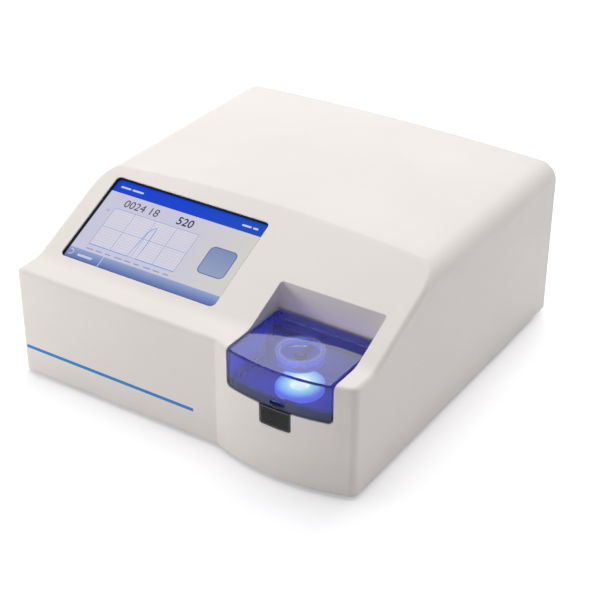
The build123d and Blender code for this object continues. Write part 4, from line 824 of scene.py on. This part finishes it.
class GeometryTree(Wiring):
    """A geometry node tree that makes what repeats."""

    def __init__(self, name: str, inputs: dict[str, object]) -> None:
        """Start a tree with its group sockets, the last of them the finish.

        Args:
            name: Name of the tree.
            inputs: Names of its inputs with their first values, whose types are the sockets' types.
        """
        super().__init__(bpy.data.node_groups.new(name, "GeometryNodeTree"))
        face = self.tree.interface
        face.new_socket("Geometry", in_out="INPUT", socket_type="NodeSocketGeometry")
        face.new_socket("Geometry", in_out="OUTPUT", socket_type="NodeSocketGeometry")
        self.ids: dict[str, str] = {}
        for key, value in (inputs | {"Finish": None}).items():
            socket = face.new_socket(key, in_out="INPUT", socket_type="NodeSocket" + SOCKETS[type(value)])
            if value is not None:
                socket.default_value = value
            self.ids[key] = socket.identifier
        self.entry = self.tree.nodes.new("NodeGroupInput").outputs
        self.exit = self.tree.nodes.new("NodeGroupOutput").inputs
        self.args = [self.entry[key] for key in inputs]

    def vector(self, x: object, y: object, z: object) -> Socket:
        """Vector from three values."""
        return self.add("ShaderNodeCombineXYZ", {0: x, 1: y, 2: z}).outputs[0]

    def solid(self, kind: str, **inputs: object) -> Socket:
        """Shape from one of the mesh primitives."""
        named = {key.replace("_", " "): value for key, value in inputs.items()}
        return self.add("GeometryNodeMesh" + kind, named).outputs["Mesh"]

    def moved(self, geometry: Socket, **inputs: object) -> Socket:
        """Geometry moved, turned or scaled."""
        return self.add("GeometryNodeTransform", {"Geometry": geometry} | inputs).outputs[0]

    def turned(self, angles: object) -> Socket:
        """Rotation from three angles."""
        return self.add("FunctionNodeEulerToRotation", {0: angles}).outputs[0]

    def spread(self, points: Socket, piece: Socket, **inputs: object) -> Socket:
        """A piece set on every point."""
        return self.add("GeometryNodeInstanceOnPoints", {"Points": points, "Instance": piece} | inputs).outputs[0]

    def join(self, *parts: Socket) -> Socket:
        """Parts joined as one geometry."""
        return self.gather(self.add("GeometryNodeJoinGeometry"), 0, *parts)

    def gather(self, node: bpy.types.Node, key: str | int, *parts: Socket) -> Socket:
        """Link several parts to one socket of a node.

        Args:
            node: The node.
            key: Its socket.
            *parts: The parts, in order.

        Returns:
            The node's first output.
        """
        for part in parts:
            self.tree.links.new(part, node.inputs[key])
        return node.outputs[0]

    def close(self, geometry: Socket) -> "GeometryTree":
        """End the tree in real geometry with its finish.

        Args:
            geometry: What the tree has made.

        Returns:
            The tree.
        """
        real = self.add("GeometryNodeRealizeInstances", {"Geometry": geometry}).outputs[0]
        painted = self.add("GeometryNodeSetMaterial", {"Geometry": real, "Material": self.entry["Finish"]})
        self.tree.links.new(painted.outputs[0], self.exit[0])
        return self

    def mesh(self, name: str, base: Mesh, values: dict[str, object]) -> Mesh:
        """Run the tree on a mesh and take its result as a plain mesh.

        Args:
            name: Name of the result.
            base: Mesh that the tree starts from.
            values: Values of the tree's inputs.

        Returns:
            The result.
        """
        holder = link(name + "_base", base)
        modifier = holder.modifiers.new(name, "NODES")
        modifier.node_group = self.tree
        for key, value in values.items():
            modifier[self.ids[key]] = value
        return taken(name, holder)


def screw_tree() -> GeometryTree:
    """Tree that puts a pan-head screw with a cross recess at every point, its head along +Z.

    Returns:
        The tree.
    """
    tree = GeometryTree("screw_set", {"Head Radius": 0.0038, "Head Height": 0.0022, "Shank Radius": 0.002,
                                      "Shank Length": 0.01, "Turn": (0.0, 0.0, 0.0)})
    radius, height, shank_radius, shank_length, turn = tree.args
    dome = tree.moved(tree.solid("UVSphere", Segments=24, Rings=12, Radius=1.0),
                      Scale=tree.vector(radius, radius, height))
    cuts = [tree.moved(tree.solid("Cube", Size=(0.05, 0.05, 0.02)), Translation=(0.0, 0.0, -0.01))]
    long, thin = tree.product(radius, 1.15), tree.product(radius, 0.26)
    for x, y in ((long, thin), (thin, long)):
        bar = tree.solid("Cube", Size=tree.vector(x, y, height))
        cuts.append(tree.moved(bar, Translation=tree.vector(0.0, 0.0, height)))
    boolean = tree.add("GeometryNodeMeshBoolean", {"Mesh 1": dome}, operation="DIFFERENCE", solver="EXACT")
    head = tree.gather(boolean, "Mesh 2", *cuts)
    shank = tree.moved(tree.solid("Cylinder", Vertices=20, Radius=shank_radius, Depth=shank_length),
                       Translation=tree.vector(0.0, 0.0, tree.product(shank_length, -0.5)))
    whole = tree.join(shank, head)
    return tree.close(tree.spread(tree.entry["Geometry"], whole, Rotation=tree.turned(turn)))


def knurl_tree() -> GeometryTree:
    """Tree that covers a bulged face with staggered pyramids that point forward.

    Returns:
        The tree.
    """
    tree = GeometryTree("knurl", {"Width": 0.025, "Height": 0.015, "Columns": 12, "Rows": 8, "Radius": BULGE_R * MM,
                                  "Tip": 0.0004, "Centre": (0.0, 0.0, 0.0)})
    width, height, columns, rows, radius, tip, centre = tree.args
    pitch = tree.maths("DIVIDE", width, tree.minus(columns, 1.0))
    rise = tree.maths("DIVIDE", height, tree.minus(rows, 1.0))
    spike = tree.solid("Cone", Vertices=4, Radius_Top=0.0, Radius_Bottom=tree.product(pitch, 0.5),
                       Depth=tree.product(tip, 2.0))
    stretch = tree.vector(1.0, tree.maths("DIVIDE", rise, pitch), 1.0)
    upright = (math.pi / 2, 0.0, 0.0)
    fields = []
    for fewer in (0.0, 1.0):
        grid = tree.solid("Grid", Size_X=tree.minus(width, tree.product(pitch, fewer)),
                          Size_Y=tree.minus(height, tree.product(rise, fewer)),
                          Vertices_X=tree.minus(columns, fewer), Vertices_Y=tree.minus(rows, fewer))
        place = tree.add("GeometryNodeInputPosition").outputs[0]
        x = tree.add("ShaderNodeSeparateXYZ", {0: place}).outputs[0]
        reach = tree.maths("SQRT", tree.minus(tree.product(radius, radius), tree.product(x, x)))
        points = tree.add("GeometryNodeSetPosition", {"Geometry": tree.moved(grid, Rotation=upright),
                                                      "Offset": tree.vector(0.0, tree.minus(radius, reach), 0.0)})
        fields.append(tree.spread(points.outputs[0], spike, Scale=stretch, Rotation=tree.turned(upright)))
    return tree.close(tree.moved(tree.join(*fields), Translation=centre))


def bars_tree() -> GeometryTree:
    """Tree that rules a flat field with evenly spaced bars, as on a graph.

    Returns:
        The tree.
    """
    tree = GeometryTree("ruled_field", {"Count": 9, "Length": 0.05, "Span": 0.1, "Line": 0.0003})
    count, length, span, line = tree.args
    step = tree.maths("DIVIDE", span, tree.minus(count, 1.0))
    row = tree.add("GeometryNodeMeshLine", {"Count": count, "Offset": tree.vector(step, 0.0, 0.0)}, mode="OFFSET")
    bar = tree.solid("Grid", Size_X=line, Size_Y=length, Vertices_X=2, Vertices_Y=2)
    return tree.close(tree.spread(row.outputs[0], bar))


# ---- casing
@dataclass
class Casing(SubAssembly):
    """Top housing, base, rear panel, feet and their screws."""

    finishes: tuple = (
        (Finish.CASE, "top_housing"),
        (Finish.BASE, "base_plate"),
        (Finish.PANEL, "rear_panel"),
        (Finish.FOOT, "rubber_feet"),
    )
    stripe_x: Pair = (-155.4, 14.1)
    stripe_z: float = 23.0
    stripe_h: float = 3.0
    proud: float = 0.04
    thick: float = 0.06
    screws: tuple = (
        ("base_screws", (math.pi, 0.0, 0.0)),
        ("rear_panel_screws", (-math.pi / 2, 0.0, 0.0)),
        ("fan_screws", (-math.pi / 2, 0.0, 0.0)),
    )

    def stripe(self) -> None:
        """Printed line along the lower front."""
        low, high = self.stripe_z - self.stripe_h / 2, self.stripe_z + self.stripe_h / 2
        left, right = self.stripe_x
        corners = [(left, low), (right, low), (right, high), (left, high)]
        work = bmesh.new()
        face = work.faces.new([work.verts.new(at(x, -self.proud, z)) for x, z in corners])
        made = bmesh.ops.extrude_face_region(work, geom=[face])["geom"]
        rear = [part for part in made if isinstance(part, bmesh.types.BMVert)]
        bmesh.ops.translate(work, vec=(0, self.thick * MM, 0), verts=rear)
        bmesh.ops.recalc_face_normals(work, faces=work.faces)
        keep("front_stripe", worked_mesh("front_stripe", work, Finish.STRIPE), "case")

    def fasteners(self, tree: GeometryTree) -> None:
        """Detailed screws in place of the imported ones.

        Args:
            tree: Tree that makes screws.
        """
        for node, turn in self.screws:
            spots, head, shank, length = screw_spots(node)
            seats = bpy.data.meshes.new(node + "_points")
            seats.from_pydata([tuple(spot) for spot in spots], [], [])
            mesh = tree.mesh(node + "_detailed", seats, {
                "Head Radius": head, "Head Height": SCREW_HEAD * MM, "Shank Radius": shank, "Shank Length": length,
                "Turn": turn, "Finish": Finish.STEEL.material()})
            keep(node + "_detailed", mesh, "case", node)


def screw_spots(node: str) -> tuple[list[Vector], float, float, float]:
    """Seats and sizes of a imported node's screws, read from its shape.

    Args:
        node: The node's name.

    Returns:
        Seats under the heads, head radius, shank radius and shank length, in metres.
    """
    upward = node == "base_screws"
    axis = 2 if upward else 1
    across = (0, 3 - axis)
    groups: list[list[Vector]] = []
    for vert in frame["nodes"][node].data.vertices:
        near = [g for g in groups if all(abs(g[0][i] - vert.co[i]) < SCREW_APART * MM for i in across)]
        if near:
            near[0].append(vert.co)
        else:
            groups.append([vert.co])
    spots: list[Vector] = []
    for group in groups:
        low = [min(p[i] for p in group) for i in range(3)]
        high = [max(p[i] for p in group) for i in range(3)]
        seat = Vector([(a + b) / 2 for a, b in zip(low, high)])
        seat[axis] = low[axis] + SCREW_HEAD * MM if upward else high[axis] - SCREW_HEAD * MM
        spots.append(seat)
    head = (high[0] - low[0]) / 2
    return spots, head, head / HEAD_TO_SHANK, high[axis] - low[axis] - SCREW_HEAD * MM


# ---- display
@dataclass
class Display(SubAssembly):
    """Touch screen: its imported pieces, and the picture on it as flat lit shapes."""

    finishes: tuple = (
        (Finish.GASKET, "display_gasket"),
        (Finish.GLASS, "touch_panel"),
        (Finish.ZINC, "display_module display_frame"),
        (Finish.NYLON, "display_standoffs"),
        (Finish.SMALL_BOARD, "display_board"),
    )
    face_depth: float = 3.46
    step: float = 0.02
    graph: Sides = (-126.0, 27.6, -40.8, 66.8)
    font_to_digit: float = 1.42
    note_count: int = 9
    note_pitch: float = 9.7
    note_up: Pair = (22.6, 23.6)
    note_long: float = 7.6
    pulse_line: float = 0.75
    hook_line: float = 0.8
    hook_centre: Pair = (-136.6, 15.6)
    hook_r: float = 2.4
    fields: tuple = (
        ("screen_ground", (-140.2, 8.6, 11.4, 94.9), 0, Finish.INK_BACK, 0.0),
        ("screen_title_bar", (-140.2, 82.3, 11.4, 94.9), 1, Finish.INK_TITLE, 0.0),
        ("screen_footer_bar", (-140.2, 8.6, 11.4, 20.3), 1, Finish.INK_FOOT, 0.0),
        ("screen_footer_rule", (-105.75, 8.6, -105.05, 20.3), 3, Finish.INK_LIGHT, 0.0),
        ("graph_field", (-126.0, 27.6, -40.8, 66.8), 1, Finish.INK_FIELD, 0.0),
    )
    bars: tuple = (
        ("graph_fine_uprights", True, 33, 0.16, 2, Finish.INK_GRID_FINE),
        ("graph_fine_levels", False, 17, 0.16, 3, Finish.INK_GRID_FINE),
        ("graph_uprights", True, 5, 0.42, 4, Finish.INK_GRID),
        ("graph_levels", False, 3, 0.42, 5, Finish.INK_GRID),
    )
    pulse: tuple = ((0.0, 0.0), (0.455, 0.0), (0.487, 0.56), (0.497, 0.70), (0.522, 0.78), (0.556, 0.85),
                    (0.561, 0.76), (0.566, 0.38), (0.558, 0.0), (1.0, 0.0))
    keys: tuple = (
        ("screen_key_edge", (-24.0, 34.3, 2.0, 61.8), 1, Finish.INK_BUTTON_EDGE, 5.0),
        ("screen_key", (-23.1, 35.2, 1.1, 60.9), 2, Finish.INK_BUTTON, 4.1),
    )
    numbers: tuple = (
        ("screen_value", "520", -67.0, 70.4, 7.6, Finish.INK_TEXT, 0.18),
        ("screen_sample", "0024 18", -121.0, 70.4, 7.6, Finish.INK_TEXT, 0.0),
        ("screen_scale", "10", -133.5, 61.5, 3.0, Finish.INK_GRID, 0.0),
    )
    marks: tuple = (
        ("screen_title_mark_0", (-134.5, 87.3, -124.0, 89.1), 2, Finish.INK_LIGHT, 0.8),
        ("screen_title_mark_1", (-122.5, 87.3, -111.0, 89.1), 2, Finish.INK_LIGHT, 0.8),
        ("screen_title_mark_2", (-12.0, 87.3, -3.0, 89.1), 2, Finish.INK_LIGHT, 0.8),
        ("screen_title_mark_3", (-1.5, 87.3, 3.5, 89.1), 2, Finish.INK_LIGHT, 0.8),
        ("screen_footer_mark_0", (-129.0, 13.4, -114.0, 15.6), 3, Finish.INK_LIGHT, 0.9),
    )

    def depth(self, level: int) -> float:
        """Depth under the slope's face of a place in the stack."""
        return self.face_depth - level * self.step

    def laid(self, x: float, up: float, level: int) -> Matrix:
        """Placing of a flat mesh on the screen."""
        lean = Matrix.Rotation(math.radians(SLOPE_DEG), 4, "X")
        return Matrix.Translation(on_slope(x, up, self.depth(level))) @ lean

    def box(self, name: str, sides: Sides, level: int, finish: Finish, radius: float) -> None:
        """A flat rectangle with square or rounded corners.

        Args:
            name: The piece's name.
            sides: Left, lower, right and upper side.
            level: Place in the stack.
            finish: The lit colour.
            radius: Rounding of the corners, or nought.
        """
        left, low, right, high = sides
        outline: list[Pair] = []
        centres = ((right - radius, low + radius, -90), (right - radius, high - radius, 0),
                   (left + radius, high - radius, 90), (left + radius, low + radius, 180))
        for x, y, start in centres:
            for i in range(7 if radius else 1):
                turn = math.radians(start + 15 * i)
                outline.append((x + radius * math.cos(turn), y + radius * math.sin(turn)))
        work = bmesh.new()
        work.faces.new([work.verts.new(on_slope(x, up, self.depth(level))) for x, up in outline])
        keep(name, worked_mesh(name, work, finish), "case")

    def strip(self, name: str, points: list[Pair], width: float, level: int, finish: Finish) -> None:
        """A flat band that follows a line of points.

        Args:
            name: The piece's name.
            points: The line.
            width: The band's width.
            level: Place in the stack.
            finish: The lit colour.
        """
        sides: list[tuple[Vector, Vector]] = []
        for i, point in enumerate(points):
            before, after = Vector(points[max(i - 1, 0)]), Vector(points[min(i + 1, len(points) - 1)])
            way = (after - before).normalized()
            off = Vector((-way.y, way.x)) * width / 2
            here = Vector(point)
            sides.append((here + off, here - off))
        work = bmesh.new()
        rows = [[work.verts.new(on_slope(p.x, p.y, self.depth(level))) for p in pair] for pair in sides]
        for first, second in zip(rows, rows[1:]):
            work.faces.new((first[1], second[1], second[0], first[0]))
        keep(name, worked_mesh(name, work, finish), "case")

    def rules(self, name: str, tree: GeometryTree, upright: bool, count: int, line: float, level: int,
              finish: Finish) -> None:
        """A family of graph lines.

        Args:
            name: The piece's name.
            tree: Tree that rules a field.
            upright: Lines run up the slope, or across it.
            count: Number of lines.
            line: Their width.
            level: Place in the stack.
            finish: The lit colour.
        """
        left, low, right, high = self.graph
        span, length = (right - left, high - low) if upright else (high - low, right - left)
        mesh = tree.mesh(name, bpy.data.meshes.new(name + "_seed"), {
            "Count": count, "Length": length * MM, "Span": span * MM, "Line": line * MM, "Finish": finish.material()})
        middle = (left, (low + high) / 2) if upright else ((left + right) / 2, low)
        turn = Matrix.Rotation(0.0 if upright else math.pi / 2, 4, "Z")
        mesh.transform(self.laid(*middle, level) @ turn)
        keep(name, mesh, "case")

    def number(self, name: str, text: str, x: float, up: float, height: float, finish: Finish, bold: float) -> None:
        """Digits on the screen.

        Args:
            name: The piece's name.
            text: The digits.
            x: Their left end.
            up: Their foot.
            height: Height of a digit.
            finish: The lit colour.
            bold: Extra stroke, in millimetres.
        """
        curve = bpy.data.curves.new(name, "FONT")
        curve.body = text
        curve.size = height * MM * self.font_to_digit
        curve.offset = bold * MM
        curve.resolution_u = 4
        mesh = taken(name, link(name + "_text", curve))
        mesh.transform(self.laid(x, up, 1))
        mesh.materials.clear()
        mesh.materials.append(finish.material())
        keep(name, mesh, "case")

    def picture(self, rules: GeometryTree) -> None:
        """Draw the whole screen.

        Args:
            rules: Tree that rules a field.
        """
        for row in self.fields:
            self.box(*row)
        for name, *row in self.bars:
            self.rules(name, rules, *row)
        left, low, right, high = self.graph
        line = [(left + across * (right - left), low + up * (high - low)) for across, up in self.pulse]
        self.strip("graph_pulse", line, self.pulse_line, 6, Finish.INK_CURVE)
        for row in self.keys:
            self.box(*row)
        for row in self.numbers:
            self.number(*row)
        for row in self.marks:
            self.box(*row)
        foot, top = self.note_up
        for i in range(self.note_count):
            x = left + i * self.note_pitch
            self.box(f"screen_note_{i}", (x, foot, x + self.note_long - (i % 3), top), 1, Finish.INK_GRID, 0.45)
        x, up = self.hook_centre
        turns = [math.radians(angle) for angle in range(-90, 100, 18)]
        hook = [(x + self.hook_r * math.cos(t), up + self.hook_r * math.sin(t)) for t in turns]
        hook = [(x - 2.0, up - self.hook_r), *hook, (x - 1.4, up + self.hook_r)]
        self.strip("screen_return_hook", hook, self.hook_line, 3, Finish.INK_LIGHT)


# ---- chamber, lid, latch
@dataclass
class Chamber(SubAssembly):
    """Tube well under the lid, with the light in it painted into the finishes as emission."""

    finishes: tuple = (
        (Finish.TUB, "chamber_tub"),
        (Finish.SOCKET, "tube_socket"),
        (Finish.GILT, "lower_electrode"),
        (Finish.BRASS, "electrode_nut"),
        (Finish.SMALL_BOARD, "light_board"),
    )


@dataclass
class Lid(SubAssembly):
    """Transparent lid with its sprung contact, hinge and interlock."""

    finishes: tuple = (
        (Finish.LID, "lid"),
        (Finish.CLEAR, "contact_carrier"),
        (Finish.BRASS, "contact_plunger fixed_terminal"),
        (Finish.STEEL, "plunger_spring lid_spring hinge_pin"),
        (Finish.ARM, "contact_arm"),
        (Finish.HINGE, "hinge_block"),
        (Finish.MAGNET, "lid_magnet"),
        (Finish.SMALL_BOARD, "lid_sensor"),
    )


@dataclass
class Latch(SubAssembly):
    """Push button with its knurled face, guide and spring."""

    finishes: tuple = (
        (Finish.BUTTON, "latch_button"),
        (Finish.BLACK, "latch_guide"),
        (Finish.STEEL, "latch_spring"),
    )
    width: float = 23.4
    height: float = 13.2
    columns: int = 14
    rows: int = 8
    middle_z: float = 53.2
    tip: float = 0.42

    def knurl(self, tree: GeometryTree) -> None:
        """Pyramids over the button's face.

        Args:
            tree: Tree that makes knurl.
        """
        apex = at(BULGE_X, BULGE_Y - BULGE_R, self.middle_z)
        mesh = tree.mesh("button_knurl", bpy.data.meshes.new("knurl_seed"), {
            "Width": self.width * MM, "Height": self.height * MM, "Columns": self.columns, "Rows": self.rows,
            "Radius": BULGE_R * MM, "Tip": self.tip * MM, "Centre": apex, "Finish": Finish.BUTTON.material()})
        keep("button_knurl", mesh, "button")


# ---- inside and rear
@dataclass
class Electronics(SubAssembly):
    """Boards, supply, transformer and pulse parts inside the case."""

    finishes: tuple = (
        (Finish.MAIN_BOARD, "main_board"),
        (Finish.PULSE_BOARD, "high_voltage_board"),
        (Finish.NYLON, "board_standoffs capacitor_clamp"),
        (Finish.SLEEVE, "capacitors"),
        (Finish.CORE, "transformer_core"),
        (Finish.COPPER, "transformer_winding"),
        (Finish.ALUMINIUM, "heat_sink discharge_resistor"),
        (Finish.BLACK, "switch_modules"),
        (Finish.ZINC, "power_supply"),
        (Finish.TERMINAL, "supply_terminals"),
    )


@dataclass
class RearFittings(SubAssembly):
    """Mains inlet, fuse drawer, switch, fan, ports and earth post."""

    finishes: tuple = (
        (Finish.INLET, "power_inlet fuse_drawer switch_frame"),
        (Finish.ROCKER, "switch_rocker"),
        (Finish.BLACK, "fan_frame fan_rotor"),
        (Finish.STEEL, "inlet_pins data_ports"),
        (Finish.BRASS, "ground_post"),
        (Finish.CLEAR, "fuses"),
        (Finish.SMALL_BOARD, "port_board"),
        (Finish.STEEL, "port_pillars"),
    )


# ---- studio
@dataclass
class Lamp:
    """A soft lamp that looks at a point."""

    name: str
    place: Triple
    aim: Triple
    size: Pair
    watts: float
    colour: Triple = (1.0, 1.0, 1.0)
    mirrored: bool = True
    round: bool = False

    def build(self) -> None:
        """Put the lamp in the scene."""
        data = bpy.data.lights.new(self.name, "AREA")
        data.shape = "ELLIPSE" if self.round else "RECTANGLE"
        data.size, data.size_y = self.size
        data.energy = self.watts
        data.color = self.colour
        obj = link(self.name, data)
        obj.location = self.place
        way = Vector(self.aim) - Vector(self.place)
        obj.rotation_euler = way.to_track_quat("-Z", "Y").to_euler()
        obj.visible_camera = False
        obj.visible_glossy = self.mirrored
        obj.visible_transmission = False
        LOG.info("lamp %s: %.3f W", self.name, self.watts)


@dataclass
class Studio:
    """Floor, soft light, and the camera at the photograph's angle."""

    eye: Triple = (0.610427, -0.929376, 0.709466)
    forward: Triple = (-0.4651286, 0.7205777, -0.5142209)
    roll_deg: float = 0.187
    lens: float = 91.92
    ambient: float = 0.16
    ambient_colour: tuple = (1.0, 0.97, 1.08, 1.0)
    ceiling: float = 0.3
    ceiling_from: Pair = (0.40, 0.50)
    floor_near: float = 0.3
    floor_far: float = 1.0
    fade_from: Pair = (0.7, 1.7)
    lamps: tuple[Lamp, ...] = (
        Lamp("overhead_softbox", (-0.1, 0.15, 1.7), (0.0, 0.0, 0.1), (1.5, 1.5), 18.0, mirrored=False),
        Lamp("rear_softbox", (-0.3, 1.3, 1.5), (0.0, 0.0, 0.1), (1.5, 1.5), 12.0, mirrored=False),
        Lamp("left_softbox", (-1.0, -0.75, 0.3), (0.0, 0.0, 0.1), (0.5, 0.5), 5.5, mirrored=False),
        Lamp("right_rear_softbox", (1.8, 1.4, 1.0), (0.0, 0.0, 0.1), (1.2, 1.2), 5.4, mirrored=False),
        Lamp("lid_highlight", (-0.85, 1.62, 1.5), (-0.85, 1.62, 0.0), (0.84, 0.29), 1.6, round=True),
        Lamp("lid_spill", tuple(at(BULGE_X, 60, 97.5)), tuple(at(BULGE_X, 66, 110)), (0.08, 0.006), 0.001,
             (0.35, 0.22, 1.0), False),
    )

    def camera(self) -> None:
        """Camera at the photograph's angle."""
        data = bpy.data.cameras.new("camera")
        data.sensor_width = 36.0
        data.lens = self.lens
        data.clip_start, data.clip_end = 0.05, 20.0
        obj = link("camera", data)
        turn = Vector(self.forward).to_track_quat("-Z", "Y").to_matrix().to_4x4()
        obj.matrix_world = Matrix.Translation(self.eye) @ turn @ Matrix.Rotation(math.radians(self.roll_deg), 4, "Z")
        bpy.context.scene.camera = obj

    def floor(self) -> None:
        """Pale floor that keeps the object's shadow."""
        bpy.ops.mesh.primitive_plane_add(size=8.0, location=(0.0, 0.0, 0.0))
        plane = bpy.context.object
        plane.name = "studio_floor"
        s = Shader("floor_paper")
        shown = s.maths("MAXIMUM", *s.rays())
        away = s.add("ShaderNodeVectorMath", {0: s.coords}, operation="LENGTH").outputs["Value"]
        backdrop = s.span(away, *self.fade_from, self.floor_near, self.floor_far)
        fibre = s.span(s.noise(80.0, 4.0), 0.3, 0.7, 0.985, 1.0)
        colour = s.add("ShaderNodeCombineColor", {"Red": fibre, "Green": fibre, "Blue": fibre}).outputs[0]
        plane.data.materials.append(s.finish({
            "Base Color": colour, "Roughness": 0.9, "Specular IOR Level": 0.0, "Emission Color": (1.0, 1.0, 1.0, 1.0),
            "Emission Strength": s.product(shown, backdrop)}))

    def surroundings(self) -> None:
        """Even light from all round; the camera, glass and metal see a white backdrop under a dim ceiling."""
        world = bpy.data.worlds.new("studio")
        bpy.context.scene.world = world
        world.use_nodes = True
        sky = Wiring(world.node_tree)
        sky.tree.nodes.clear()
        way = sky.add("ShaderNodeTexCoord").outputs["Generated"]
        height = sky.add("ShaderNodeSeparateXYZ", {0: way}).outputs["Z"]
        backdrop = sky.span(height, *self.ceiling_from, 1.0, self.ceiling)
        direct, mirrored = sky.rays()
        seen = sky.maths("MAXIMUM", direct, sky.product(mirrored, backdrop))
        ambient = sky.product(sky.maths("LESS_THAN", seen, 0.01), self.ambient)
        white = sky.add("ShaderNodeBackground", {"Color": (1.0, 1.0, 1.0, 1.0), "Strength": seen})
        fill = sky.add("ShaderNodeBackground", {"Color": self.ambient_colour, "Strength": ambient})
        both = sky.add("ShaderNodeAddShader", {0: white.outputs[0], 1: fill.outputs[0]})
        sky.add("ShaderNodeOutputWorld", {"Surface": both.outputs[0]})

    def build(self) -> None:
        """Set the whole studio."""
        bpy.context.scene.view_settings.view_transform = "Standard"
        self.floor()
        self.surroundings()
        for lamp in self.lamps:
            lamp.build()
        self.camera()


def main() -> None:
    """Build every sub-assembly in order and report each piece."""
    casing, display, latch = Casing(), Display(), Latch()
    for part in (casing, display, Chamber(), Lid(), latch, Electronics(), RearFittings()):
        part.dress()
    casing.stripe()
    casing.fasteners(screw_tree())
    display.picture(bars_tree())
    latch.knurl(knurl_tree())
    Studio().build()


if __name__ == "__main__":
    main()
